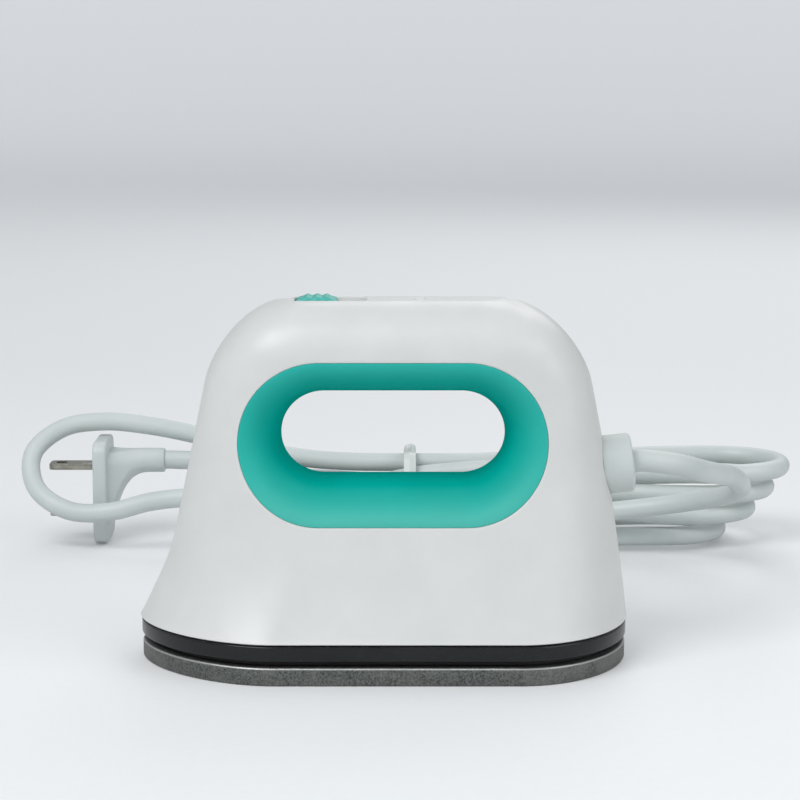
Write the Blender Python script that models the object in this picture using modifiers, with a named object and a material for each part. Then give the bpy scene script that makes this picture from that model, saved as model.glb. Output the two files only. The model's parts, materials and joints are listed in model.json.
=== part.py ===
# Mini handheld heat press: a moulded clamshell body with a lined finger opening and a thumb slide,
# over a thick aluminium plate, with its mains lead folded into a tied hank behind it.
# Metres, +Z up, +X towards the lead, the nose at -X, the side seen first at -Y.
# The origin is under the middle of the plate.

import math

import bmesh
import bpy
from mathutils import Matrix, Vector, geometry

# General clearances
seat_gap = 0.0003
overrun = 0.004

# Plate and skirt
base_half_length = 0.0539
base_half_width = 0.0294
plate_thickness = 0.0040
plate_inset = 0.0004
plate_edge_radius = 0.0005
recess_height = 0.0013
recess_inset = 0.0024
skirt_height = 0.0037
skirt_floor_thickness = 0.0016
skirt_wall = 0.0022
skirt_inset = 0.0002
tongue_inset = 0.0046
tongue_wall = 0.0014
tongue_height = 0.0030
skirt_window_ledge = 0.0060
skirt_window_side_ledge = 0.0030

# Moulded body
body_height = 0.0794
shoulder_drop = 0.0184
crown_drop = 0.0120
flat_nose_setback = 0.0333
flat_tail_setback = 0.0280
flat_half_width = 0.0040
nose_shoulder_setback = 0.0147
tail_shoulder_setback = 0.0082
shoulder_width_setback = 0.0136
tail_bow = 0.0006
flare_rise_share = 0.205
flare_setback = 0.0070
flare_softness = 0.0010
flank_bow = 0.0030
base_nose_round = 0.0304
base_tail_round = 0.0245
shoulder_nose_round = 0.0175
shoulder_tail_round = 0.0165
top_nose_round = 0.0060
top_tail_round = 0.0060
base_nose_power_share = 1.72
base_tail_power_share = 1.90
shoulder_power_share = 2.30
body_wall = 0.0022
round_steps = 8
straight_steps = 3
side_levels = 8
crown_levels = 6

# Finger opening and its liner
opening_middle_x = 0.0021
opening_end_setback = 0.02065
opening_top_bar = 0.01225
opening_sill = 0.03245
flare_length = 0.00865
flare_drop = 0.0077
liner_wall = 0.0012
ring_wall = 0.0016
liner_steps = 7
liner_end_steps = 9
liner_straight_steps = 5
boss_radius = 0.0023
boss_length = 0.0048
boss_clearance = 0.00435
boss_spread = 0.0150
screw_radius = 0.0010
screw_head_radius = 0.0019
screw_head_height = 0.0014
screw_sides = 12
shell_screw_length = 0.0085

# Thumb slide and its switch
slide_x = -0.0145
slide_travel = 0.0060
knob_length = 0.0088
knob_half_width = 0.0040
knob_crest = 0.0008
knob_rib_height = 0.0006
knob_rib_count = 3
knob_rib_steps = 8
knob_ribbed_share = 0.72
recess_depth = 0.0010
recess_margin = 0.0007
stem_length = 0.0028
stem_half_width = 0.0012
carrier_thickness = 0.0010
carrier_half_width = 0.0034
carrier_margin = 0.0006
lever_half = 0.0008
lever_drop = 0.0014
switch_length = 0.0190
switch_half_width = 0.0036
switch_slot_depth = 0.0018
lens_x = 0.0080
lens_radius = 0.0014
lens_flange_radius = 0.0022
lens_flange = 0.0008

# Mains entry
gland_height = 0.0426
gland_tilt = math.radians(6.0)
collar_radius = 0.0065
collar_length = 0.0057
collar_edge = 0.0009
collar_corner_share = 0.3
collar_sink = 0.0010
neck_radius = 0.0044
gland_flange = 0.0018
cord_radius = 0.0025
inner_cord_clearance = 0.0007
clamp_length_share = 0.8
clamp_half_width = 0.0050

# Heater parts
pocket_depth = 0.0024
pocket_end_setback = 0.0239
pocket_side_setback = 0.0154
heater_thickness = 0.0008
heater_margin = 0.0006
cover_thickness = 0.0007
fuse_radius = 0.0016
fuse_length = 0.0100
fuse_y = -0.0045
fuse_x = -0.0100
clip_wall = 0.0006
clip_length = 0.0040
sensor_radius = 0.0013
sensor_length = 0.0050
sensor_x = 0.0120
sensor_y = 0.0040
base_screw_end_setback = 0.0239
base_screw_side_setback = 0.0144
base_screw_length = 0.0120
base_screw_head_height = 0.0007
base_boss_radius = 0.0031
base_boss_top = 0.0200
plate_screw_x = 0.0120
plate_screw_side_setback = 0.0094
plate_screw_length = 0.0036

# Control board
board_middle_x = -0.0020
board_end_setback = 0.0319
board_side_setback = 0.0184
board_thickness = 0.0014
board_height = 0.0135
board_post_radius = 0.0022
board_post_setback = 0.0030
board_post_overhang = 0.0015
board_ear = 0.0030
relay_size = (0.0110, 0.0090, 0.0080)
relay_setback = 0.0120
capacitor_radius = 0.0036
capacitor_height = 0.0090
capacitor_x = 0.0010
triac_size = (0.0016, 0.0090, 0.0100)
triac_setback = 0.0095
terminal_size = (0.0090, 0.0120, 0.0080)
terminal_gap = 0.0009
terminal_post_height = 0.0240
wire_pitch = 0.0030
wire_rise = 0.0020
wire_slack = 0.0040
wire_landing = 0.0030
heater_wire_setback = 0.0038
switch_wire_clearance = 0.0036
switch_wire_angles = (50, 20, -10, -40)
wire_radius = 0.0008

# Lead: one cord, written as a free stretch, a tied hank and a short tail
hank_tie_x = 0.0080
hank_middle_y = 0.1240
hank_level = 0.0038
hank_pitch = 0.0057
hank_waist = 0.0028
hank_side_step = 0.0066
hank_left_reach = 0.0400
hank_right_reaches = (0.0990, 0.0950, 0.0900, 0.0820)
hank_fold_radius = 0.0150
hank_climb_reach = 0.0240
hank_shift_start = 0.0750
hank_shift_end = 0.0360
hank_start_x = 0.0300
hank_end_x = 0.0100
loop_points = 24
tube_spacing = 0.0115
tie_thickness = 0.0005
tie_half_width = 0.0016
tie_nub_radius = 0.0011
tie_nub_height = 0.0042

# Plug
plug_y = 0.1240
plug_level = 0.0142
flange_face_x = -0.0790
flange_thickness = 0.0038
flange_half_height = 0.0138
flange_half_depth = 0.0095
flange_corner = 0.0030
plug_body_half_height = 0.0112
plug_body_half_depth = 0.0078
plug_neck_radius = 0.0041
plug_body_length = 0.0110
plug_neck_length = 0.0040
blade_length = 0.0125
blade_half_width = 0.0032
blade_half_thickness = 0.0008
blade_spacing = 0.0127
blade_root = 0.0020
plug_waist_shares = (0.6, 0.92, 0.86, 1.3)
plug_end_shares = (0.78, 0.62, 1.4)
plug_neck_share = 0.9

# Reaches that follow from the base and the body
flat_nose_reach = base_half_length - flat_nose_setback
flat_tail_reach = base_half_length - flat_tail_setback
nose_shoulder_reach = base_half_length - nose_shoulder_setback
tail_shoulder_reach = base_half_length - tail_shoulder_setback
shoulder_half_width = base_half_width - shoulder_width_setback
flare_reach = base_half_length - flare_setback
rim_half_length = base_half_length - opening_end_setback
rim_half_height = (body_height - opening_top_bar - opening_sill) / 2
opening_middle_z = opening_sill + rim_half_height
throat_half_length = rim_half_length - flare_length
throat_half_height = rim_half_height - flare_drop
boss_reach = throat_half_height + boss_clearance
base_screw_x = base_half_length - base_screw_end_setback
base_screw_y = base_half_width - base_screw_side_setback
plate_screw_y = base_half_width - plate_screw_side_setback
pocket_half_length = base_half_length - pocket_end_setback
pocket_half_width = base_half_width - pocket_side_setback
skirt_window_half_length = pocket_half_length - skirt_window_ledge
skirt_window_half_width = pocket_half_width - skirt_window_side_ledge
board_half_length = base_half_length - board_end_setback
board_half_width = base_half_width - board_side_setback
board_post_x = board_half_length - board_post_setback
board_post_y = board_half_width + board_post_overhang
relay_x = board_middle_x - board_half_length + relay_setback
triac_x = board_middle_x + board_half_length - triac_setback
heater_wire_y = skirt_window_half_width - heater_wire_setback

# Heights that follow from the stack
skirt_low = plate_thickness + recess_height
skirt_top = skirt_low + skirt_height - seat_gap
body_low = skirt_low + skirt_height
shoulder_height = body_height - shoulder_drop
crown_start = body_height - crown_drop
skirt_floor_top = skirt_low + skirt_floor_thickness

for old in list(bpy.data.objects):
    bpy.data.objects.remove(old, do_unlink=True)
parts = bpy.data.collections.new("mini_heat_press")
cutters = bpy.data.collections.new("cutters")
bpy.context.scene.collection.children.link(parts)
bpy.context.scene.collection.children.link(cutters)


# Materials
def finish(name, colour, roughness, metallic=0.0):
    material = bpy.data.materials.new(name)
    material.use_nodes = True
    shader = material.node_tree.nodes["Principled BSDF"]
    shader.inputs["Base Color"].default_value = (*colour, 1.0)
    shader.inputs["Roughness"].default_value = roughness
    shader.inputs["Metallic"].default_value = metallic
    material.diffuse_color = (*colour, 1.0)
    return material


white_shell = finish("white_shell", (0.70, 0.71, 0.70), 0.35)
teal_liner = finish("teal_liner", (0.01, 0.40, 0.33), 0.40)
teal_knob = finish("teal_knob", (0.03, 0.45, 0.38), 0.40)
black_resin = finish("black_resin", (0.010, 0.012, 0.014), 0.25)
cast_aluminium = finish("cast_aluminium", (0.32, 0.33, 0.32), 0.45, 1.0)
zinc_steel = finish("zinc_steel", (0.55, 0.55, 0.53), 0.35, 1.0)
gasket_rubber = finish("gasket_rubber", (0.03, 0.03, 0.03), 0.80)
mica = finish("mica", (0.52, 0.42, 0.28), 0.50)
board_green = finish("board_green", (0.02, 0.20, 0.08), 0.45)
cord_white = finish("cord_white", (0.60, 0.66, 0.64), 0.45)
blade_brass = finish("blade_brass", (0.45, 0.42, 0.34), 0.30, 1.0)
lens_clear = finish("lens_clear", (0.75, 0.80, 0.78), 0.15)
fuse_body = finish("fuse_body", (0.70, 0.68, 0.60), 0.40)
tie_white = finish("tie_white", (0.62, 0.66, 0.65), 0.50)


# Building helpers
def place(name, mesh, material, cutter=False):
    thing = bpy.data.objects.new(name, mesh)
    (cutters if cutter else parts).objects.link(thing)
    if cutter:
        thing.hide_render = True
        thing.display_type = "WIRE"
    else:
        mesh.materials.clear()
        mesh.materials.append(material)
    return thing


def from_bmesh(name, made, material=None, cutter=False, smooth=False):
    mesh = bpy.data.meshes.new(name)
    made.to_mesh(mesh)
    made.free()
    if smooth:
        mesh.shade_smooth()
        mesh.set_sharp_from_angle(angle=math.radians(35.0))
    return place(name, mesh, material, cutter)


def block(name, low, high, material=None, cutter=False, bevel=0.0):
    low, high = Vector(low), Vector(high)
    made = bmesh.new()
    bmesh.ops.create_cube(made, size=1.0)
    bmesh.ops.scale(made, vec=high - low, verts=made.verts)
    bmesh.ops.translate(made, vec=(low + high) / 2, verts=made.verts)
    if bevel > 0.0:
        bmesh.ops.bevel(made, geom=made.edges[:], offset=bevel, segments=1, profile=0.5, affect="EDGES")
    return from_bmesh(name, made, material, cutter)


def rod(name, start, end, radius, material=None, cutter=False, sides=16, end_radius=None):
    start, end = Vector(start), Vector(end)
    along = end - start
    made = bmesh.new()
    bmesh.ops.create_cone(made, cap_ends=True, segments=sides, radius1=radius,
                          radius2=radius if end_radius is None else end_radius, depth=along.length)
    turn = Vector((0.0, 0.0, 1.0)).rotation_difference(along).to_matrix().to_4x4()
    bmesh.ops.transform(made, matrix=Matrix.Translation((start + end) / 2) @ turn, verts=made.verts)
    return from_bmesh(name, made, material, cutter, smooth=True)


def as_mesh(curve_object, material=None, cutter=False, smooth=False):
    """Turn a curve object into a closed mesh object at the same place."""
    bpy.context.view_layer.update()
    evaluated = curve_object.evaluated_get(bpy.context.evaluated_depsgraph_get())
    mesh = bpy.data.meshes.new_from_object(evaluated)
    made = bmesh.new()
    made.from_mesh(mesh)
    bmesh.ops.remove_doubles(made, verts=made.verts, dist=seat_gap / 100)
    made.to_mesh(mesh)
    made.free()
    name = curve_object.name
    matrix = curve_object.matrix_world.copy()
    bpy.data.objects.remove(curve_object, do_unlink=True)
    if smooth:
        mesh.shade_smooth()
        mesh.set_sharp_from_angle(angle=math.radians(35.0))
    thing = place(name, mesh, material, cutter)
    thing.matrix_world = matrix
    return thing


def slab(name, outlines, low, high, material=None, cutter=False, standing=False):
    """A flat outline with thickness; standing outlines are drawn in X and Z and run along Y."""
    data = bpy.data.curves.new(name, "CURVE")
    data.dimensions = "2D"
    data.fill_mode = "BOTH"
    data.extrude = (high - low) / 2
    for outline in outlines:
        spline = data.splines.new("POLY")
        spline.points.add(len(outline) - 1)
        for point, (across, up) in zip(spline.points, outline):
            point.co = (across, up, 0.0, 1.0)
        spline.use_cyclic_u = True
    thing = bpy.data.objects.new(name, data)
    cutters.objects.link(thing)
    middle = (low + high) / 2
    if standing:
        thing.rotation_euler = (math.radians(90.0), 0.0, 0.0)
        thing.location = (0.0, middle, 0.0)
    else:
        thing.location = (0.0, 0.0, middle)
    return as_mesh(thing, material, cutter)


def boolean(thing, other, operation):
    modifier = thing.modifiers.new(operation.lower() + "_" + other.name, "BOOLEAN")
    modifier.operation = operation
    modifier.object = other
    modifier.solver = "EXACT"


def cut(thing, *others):
    for other in others:
        boolean(thing, other, "DIFFERENCE")


def join(thing, *others):
    for other in others:
        boolean(thing, other, "UNION")


# Outlines
def rounded_quarter(reach_x, reach_y, power, steps):
    """Points of one quarter of a superellipse, from the X end to the Y end."""
    points = []
    for step in range(steps + 1):
        angle = math.pi / 2 * step / steps
        points.append((reach_x * math.cos(angle) ** (2 / power), reach_y * math.sin(angle) ** (2 / power)))
    return points


def plan_outline(nose, tail, half_width, nose_round, tail_round, nose_power, tail_power, straights=1):
    """The body's outline seen from above, anticlockwise from the tail tip."""
    tail_middle = tail - tail_round
    nose_middle = nose + nose_round
    tail_quarter = rounded_quarter(tail_round, half_width, tail_power, round_steps)
    nose_quarter = rounded_quarter(nose_round, half_width, nose_power, round_steps)
    side = [(tail_middle + x, y) for x, y in tail_quarter]
    for step in range(1, straights):
        side.append((tail_middle + (nose_middle - tail_middle) * step / straights, half_width))
    side += [(nose_middle - x, y) for x, y in reversed(nose_quarter)]
    return side + [(x, -y) for x, y in reversed(side[1:-1])]


def base_outline(inset):
    """The outline of the plate and skirt, drawn in by an inset."""
    return plan_outline(-base_half_length + inset, base_half_length - inset, base_half_width - inset,
                        base_nose_round - inset, base_tail_round - inset,
                        base_nose_power_share, base_tail_power_share)


def stadium(half_length, half_height, steps=liner_end_steps, straights=1):
    """The finger opening's outline in X and Z, anticlockwise from its tail end."""
    half_straight = half_length - half_height
    points = []
    for step in range(-steps, steps + 1):
        angle = math.pi / 2 * step / steps
        points.append((half_straight + half_height * math.cos(angle), half_height * math.sin(angle)))
    for step in range(1, straights):
        points.append((half_straight - 2 * half_straight * step / straights, half_height))
    points += [(-x, -z) for x, z in points[:2 * steps + 1]]
    for step in range(1, straights):
        points.append((-half_straight + 2 * half_straight * step / straights, -half_height))
    return [(opening_middle_x + x, opening_middle_z + z) for x, z in points]


# The body's surface
def eased(share):
    return share * share * (3 - 2 * share)


def body_section(height):
    """Nose, tail, half width, end roundings and powers of the body at a height."""
    rise = min(max((height - body_low) / (shoulder_height - body_low), 0.0), 1.0)
    above = (height - body_low) / (shoulder_height - body_low)
    lean = (base_half_length - flare_reach) / (flare_rise_share * (body_height - body_low))
    flare = base_half_length - lean * (height - body_low)
    flare_height = body_low + flare_rise_share * (body_height - body_low)
    side_lean = (flare_reach - nose_shoulder_reach) / (shoulder_height - flare_height)
    side = flare_reach - side_lean * (height - flare_height)
    nose = (flare + side + math.hypot(flare - side, flare_softness)) / 2
    tail = base_half_length + (tail_shoulder_reach - base_half_length) * above
    tail += tail_bow * 4 * above * (1 - above)
    width = base_half_width + (shoulder_half_width - base_half_width) * min(above, 1.0)
    width -= flank_bow * 4 * rise * (1 - rise)
    nose_round = base_nose_round + (shoulder_nose_round - base_nose_round) * eased(rise)
    tail_round = base_tail_round + (shoulder_tail_round - base_tail_round) * eased(rise)
    nose_power = base_nose_power_share + (shoulder_power_share - base_nose_power_share) * eased(rise)
    tail_power = base_tail_power_share + (shoulder_power_share - base_tail_power_share) * eased(rise)
    if height > shoulder_height:
        climb = min((height - shoulder_height) / shoulder_drop, 1.0)
        fall = math.sqrt(1 - climb * climb)
        nose = flat_nose_reach + (nose - flat_nose_reach) * fall
        tail = flat_tail_reach + (tail - flat_tail_reach) * fall
        nose_round = top_nose_round + (nose_round - top_nose_round) * fall
        tail_round = top_tail_round + (tail_round - top_tail_round) * fall
    if height > crown_start:
        climb = min((height - crown_start) / crown_drop, 1.0)
        width = flat_half_width + (width - flat_half_width) * math.sqrt(1 - climb * climb)
    return -nose, tail, width, nose_round, tail_round, nose_power, tail_power


def body_half_width(x, height):
    """How far the body's face stands from the middle plane at a place on it."""
    nose, tail, width, nose_round, tail_round, nose_power, tail_power = body_section(height)
    if x < nose + nose_round:
        share = min((nose + nose_round - x) / nose_round, 1.0)
        return width * (1 - share ** nose_power) ** (1 / nose_power)
    if x > tail - tail_round:
        share = min((x - tail + tail_round) / tail_round, 1.0)
        return width * (1 - share ** tail_power) ** (1 / tail_power)
    return width


def body_levels(low):
    """Heights of the body's sections: even up to the shoulder, then at even angles."""
    levels = [low + (shoulder_height - low) * step / side_levels for step in range(side_levels)]
    for step in range(crown_levels + 1):
        levels.append(shoulder_height + shoulder_drop * math.sin(math.pi / 2 * step / crown_levels))
    return levels


def body_loft(name, low, closed, cutter, inset=0.0):
    """The body's outer surface as a loft through its sections, capped at the top."""
    made = bmesh.new()
    rings = []
    for height in body_levels(low):
        nose, tail, width, nose_round, tail_round, nose_power, tail_power = body_section(height)
        outline = plan_outline(nose + inset, tail - inset, width - inset, nose_round - inset, tail_round - inset,
                               nose_power, tail_power, straight_steps)
        sunk = height - inset * (height - low) / (body_height - low)
        rings.append([made.verts.new((x, y, sunk)) for x, y in outline])
    count = len(rings[0])
    for lower, upper in zip(rings, rings[1:]):
        for index in range(count):
            following = (index + 1) % count
            made.faces.new((lower[index], lower[following], upper[following], upper[index]))
    made.faces.new(rings[-1])
    if closed:
        made.faces.new(list(reversed(rings[0])))
    return from_bmesh(name, made, white_shell, cutter, smooth=True)


# Body halves
ring_half_length = rim_half_length + ring_wall
ring_half_height = rim_half_height + ring_wall
window = slab("window_cutter", [stadium(rim_half_length + seat_gap, rim_half_height + seat_gap)],
              -base_half_width - overrun, base_half_width + overrun, cutter=True, standing=True)
solid_body = body_loft("body_limit", body_low - overrun, True, True, body_wall / 2)
slide_low = body_height - recess_depth
slot_low_x = slide_x - stem_length / 2 - seat_gap
slot_high_x = slide_x + slide_travel + stem_length / 2 + seat_gap
knob_recess = block("knob_recess_cutter",
                    (slide_x - knob_length / 2 - recess_margin, -knob_half_width - recess_margin, slide_low),
                    (slide_x + slide_travel + knob_length / 2 + recess_margin, knob_half_width + recess_margin,
                     body_height + overrun), cutter=True)
knob_slot = block("knob_slot_cutter", (slot_low_x, -stem_half_width - seat_gap, body_height - 2 * body_wall),
                  (slot_high_x, stem_half_width + seat_gap, body_height + overrun), cutter=True)
lens_hole = rod("lens_hole_cutter", (lens_x, 0.0, body_height - 2 * body_wall), (lens_x, 0.0, body_height + overrun),
                lens_radius + seat_gap, cutter=True)

tail_at_gland = body_section(gland_height)[1]
gland_axis = Vector((math.cos(gland_tilt), 0.0, math.sin(gland_tilt)))
gland_seat = Vector((tail_at_gland, 0.0, gland_height))
gland_inner = -body_wall - seat_gap
gland_inside = gland_seat + gland_axis * (gland_inner - collar_sink - gland_flange - seat_gap)
inner_cord_length = (gland_inside.x - opening_middle_x - ring_half_length - inner_cord_clearance) / gland_axis.x
clamp_length = inner_cord_length * clamp_length_share
inner_cord_end = gland_inside - gland_axis * inner_cord_length
clamp_middle = (gland_inside + inner_cord_end) / 2
terminal_x = clamp_middle.x - clamp_length / 2 - terminal_gap - terminal_size[0] / 2
gland_hole = rod("gland_hole_cutter", gland_seat - gland_axis * 3 * body_wall, gland_seat + gland_axis * overrun,
                 neck_radius + seat_gap, cutter=True, sides=24)
collar_hole = rod("collar_hole_cutter", gland_seat - gland_axis * (collar_sink + seat_gap),
                  gland_seat + gland_axis * overrun, collar_radius + seat_gap, cutter=True, sides=32)
floor_trim = block("floor_trim_cutter",
                   (-base_half_length - overrun, -base_half_width - overrun, body_low - 2 * overrun),
                   (base_half_length + overrun, base_half_width + overrun, body_low), cutter=True)


def boss_places():
    for side_x in (-1, 1):
        for side_z in (-1, 1):
            yield opening_middle_x + side_x * boss_spread, opening_middle_z + side_z * boss_reach, side_z


def half_shell(name, facing):
    """One half of the clamshell; facing is -1 for the front half and +1 for the rear half."""
    shell = body_loft(name, body_low - overrun, False, False)
    wall = shell.modifiers.new("wall", "SOLIDIFY")
    wall.thickness = body_wall
    wall.offset = -1.0
    wall.use_even_offset = True
    reach = base_half_width + overrun
    low_y, high_y = sorted((facing * seat_gap / 2, facing * reach))
    ring = slab(name + "_ring", [stadium(ring_half_length, ring_half_height)], low_y, high_y,
                cutter=True, standing=True)
    for side_x in (-1, 1):
        post_x = side_x * base_screw_x
        post_y = facing * base_screw_y
        post = rod(name + "_post", (post_x, post_y, skirt_floor_top + seat_gap), (post_x, post_y, base_boss_top),
                   base_boss_radius, cutter=True)
        web_low, web_high = sorted((post_y, facing * reach))
        web = block(name + "_web", (post_x - body_wall / 2, web_low, body_low + tongue_height + seat_gap),
                    (post_x + body_wall / 2, web_high, base_boss_top - body_wall), cutter=True)
        join(ring, post, web)
    boolean(ring, solid_body, "INTERSECT")
    join(shell, ring)
    cut(shell, window)
    for boss_x, boss_z, side_z in boss_places():
        near, far = sorted((facing * seat_gap / 2, facing * boss_length))
        boss = rod(name + "_boss", (boss_x, near, boss_z), (boss_x, far, boss_z), boss_radius, cutter=True)
        web_near, web_far = sorted((boss_z, opening_middle_z + side_z * (ring_half_height - ring_wall / 2)))
        web = block(name + "_boss_web", (boss_x - boss_radius, near, web_near), (boss_x + boss_radius, far, web_far),
                    cutter=True)
        join(boss, web)
        join(shell, boss)
    half = block(name + "_half_cutter",
                 (-base_half_length - overrun, min(-facing * reach, facing * seat_gap / 2), -overrun),
                 (base_half_length + overrun, max(-facing * reach, facing * seat_gap / 2), body_height + overrun),
                 cutter=True)
    cut(shell, half, floor_trim, knob_recess, knob_slot, lens_hole, collar_hole, gland_hole)
    for boss_x, boss_z, side_z in boss_places():
        hole = rod(name + "_boss_hole", (boss_x, -boss_length + boss_radius / 2, boss_z),
                   (boss_x, boss_length + overrun, boss_z), screw_radius + seat_gap, cutter=True, sides=screw_sides)
        cut(shell, hole)
    for side_x in (-1, 1):
        hole = rod(name + "_post_hole", (side_x * base_screw_x, facing * base_screw_y, body_low - overrun),
                   (side_x * base_screw_x, facing * base_screw_y, skirt_low + base_screw_length + seat_gap),
                   screw_radius + seat_gap, cutter=True, sides=screw_sides)
        cut(shell, hole)
    return shell


half_shell("shell_front", -1)
half_shell("shell_rear", 1)


# Liner of the finger opening
def liner_half(name, facing):
    """A flared collar from the throat at the middle plane out to the body's face."""
    throat = stadium(throat_half_length, throat_half_height, straights=liner_straight_steps)
    rim = stadium(rim_half_length, rim_half_height, straights=liner_straight_steps)
    start = seat_gap
    made = bmesh.new()
    rings = []
    for step in range(liner_steps + 1):
        angle = math.pi / 2 * step / liner_steps
        ring = []
        for (throat_x, throat_z), (rim_x, rim_z) in zip(throat, rim):
            depth = body_half_width(rim_x, rim_z)
            spread = 1 - math.cos(angle)
            ring.append(made.verts.new((throat_x + (rim_x - throat_x) * spread,
                                        facing * (start + (depth - start) * math.sin(angle)),
                                        throat_z + (rim_z - throat_z) * spread)))
        rings.append(ring)
    count = len(throat)
    for inner, outer in zip(rings, rings[1:]):
        for index in range(count):
            following = (index + 1) % count
            corners = (inner[index], outer[index], outer[following], inner[following])
            made.faces.new(corners if facing < 0 else tuple(reversed(corners)))
    liner = from_bmesh(name, made, teal_liner, smooth=True)
    wall = liner.modifiers.new("wall", "SOLIDIFY")
    wall.thickness = liner_wall
    wall.offset = -1.0
    wall.use_even_offset = True
    boolean(liner, liner_limit, "INTERSECT")
    return liner


liner_limit = slab("liner_limit", [stadium(rim_half_length + seat_gap / 3, rim_half_height + seat_gap / 3)],
                   -base_half_width - overrun, base_half_width + overrun, cutter=True, standing=True)
liner_half("handle_liner_front", -1)
liner_half("handle_liner_rear", 1)

# Screws
def screw(name, head, tip, head_radius=screw_head_radius, head_height=screw_head_height, material=zinc_steel,
          cutter=False):
    """A pan head screw; the head's far face lies at head and the thread ends at tip."""
    head, tip = Vector(head), Vector(tip)
    direction = (tip - head).normalized()
    shank = rod(name, head + direction * head_height / 2, tip, screw_radius, material, cutter, sides=screw_sides)
    cap = rod(name + "_head", head, head + direction * head_height, head_radius, cutter=True, sides=screw_sides)
    join(shank, cap)
    return shank


def screw_set(name, places, head_height=screw_head_height):
    """Equal screws, each its own piece."""
    for number, (head, tip) in enumerate(places, 1):
        screw(f"{name}_{number}", head, tip, head_height=head_height)


screw_set("shell_screw", [((x, boss_length + screw_head_height + seat_gap, z),
                              (x, boss_length + screw_head_height + seat_gap - shell_screw_length, z))
                             for x, z, side in boss_places()])

# Plate with its heater pocket
plate = slab("heating_plate", [base_outline(plate_inset)], 0.0, plate_thickness, cast_aluminium)
edge = plate.modifiers.new("edge", "BEVEL")
edge.width = plate_edge_radius
edge.segments = 2
edge.limit_method = "ANGLE"
edge.angle_limit = math.radians(60.0)
pocket = block("pocket_cutter", (-pocket_half_length, -pocket_half_width, plate_thickness - pocket_depth),
               (pocket_half_length, pocket_half_width, plate_thickness + overrun), cutter=True)
cut(plate, pocket)


def four_places(reach_x, reach_y):
    return [(side_x * reach_x, side_y * reach_y) for side_x in (-1, 1) for side_y in (-1, 1)]


for index, (x, y) in enumerate(four_places(plate_screw_x, plate_screw_y)):
    hole = rod("plate_hole_cutter", (x, y, plate_thickness / 3), (x, y, plate_thickness + overrun),
               screw_radius + seat_gap, cutter=True, sides=screw_sides)
    cut(plate, hole)

heater_low = plate_thickness - pocket_depth + seat_gap
block("heating_element", (-pocket_half_length + heater_margin, -pocket_half_width + heater_margin, heater_low),
      (pocket_half_length - heater_margin, pocket_half_width - heater_margin, heater_low + heater_thickness), mica)
cover_low = heater_low + heater_thickness + seat_gap
cover_top = cover_low + cover_thickness
cover = block("heater_cover", (-pocket_half_length + seat_gap, -pocket_half_width + seat_gap, cover_low),
              (pocket_half_length - seat_gap, pocket_half_width - seat_gap, cover_top), zinc_steel)

# Gasket between plate and skirt
gasket_low = plate_thickness + seat_gap
gasket_high = skirt_low - seat_gap
gasket = slab("heat_gasket", [base_outline(recess_inset), base_outline(recess_inset + skirt_wall)],
              gasket_low, gasket_high, gasket_rubber)

# Skirt
skirt = slab("base_skirt", [base_outline(skirt_inset)], skirt_low, skirt_top, black_resin)
skirt_tray = slab("skirt_tray_cutter", [base_outline(skirt_wall)], skirt_floor_top, skirt_top + overrun,
                  cutter=True)
cut(skirt, skirt_tray)
tongue = slab("skirt_tongue", [base_outline(tongue_inset), base_outline(tongue_inset + tongue_wall)],
              skirt_low + skirt_floor_thickness / 2, body_low + tongue_height, cutter=True)
join(skirt, tongue)
for x, y in four_places(board_post_x, board_post_y):
    post = rod("board_post", (board_middle_x + x, y, skirt_low + skirt_floor_thickness / 2),
               (board_middle_x + x, y, board_height - seat_gap), board_post_radius, cutter=True)
    join(skirt, post)
terminal_half = Vector(terminal_size) / 2
terminal_post = block("terminal_post",
                      (terminal_x - terminal_half.x, -terminal_half.y, skirt_low + skirt_floor_thickness / 2),
                      (clamp_middle.x + clamp_length / 2, terminal_half.y, terminal_post_height - seat_gap),
                      cutter=True)
join(skirt, terminal_post)
skirt_window = block("skirt_window_cutter",
                     (-skirt_window_half_length, -skirt_window_half_width, skirt_low - overrun),
                     (skirt_window_half_length, skirt_window_half_width, skirt_floor_top + seat_gap), cutter=True)
cut(skirt, skirt_window)
for x, y in four_places(base_screw_x, base_screw_y):
    hole = rod("base_hole_cutter", (x, y, skirt_low - overrun), (x, y, skirt_floor_top + overrun),
               screw_radius + seat_gap, cutter=True, sides=screw_sides)
    cut(skirt, hole)
for x, y in four_places(plate_screw_x, plate_screw_y):
    hole = rod("plate_screw_cutter", (x, y, skirt_low - overrun), (x, y, skirt_floor_top + overrun),
               screw_radius + seat_gap, cutter=True, sides=screw_sides)
    cut(skirt, hole)

base_screw_head = skirt_low - seat_gap - base_screw_head_height
screw_set("base_screw", [((x, y, base_screw_head), (x, y, skirt_low + base_screw_length))
                           for x, y in four_places(base_screw_x, base_screw_y)], base_screw_head_height)
plate_screw_head = skirt_floor_top + seat_gap + screw_head_height
screw_set("plate_screw", [((x, y, plate_screw_head),
                              (x, y, plate_screw_head - screw_head_height - plate_screw_length))
                             for x, y in four_places(plate_screw_x, plate_screw_y)])

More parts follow.
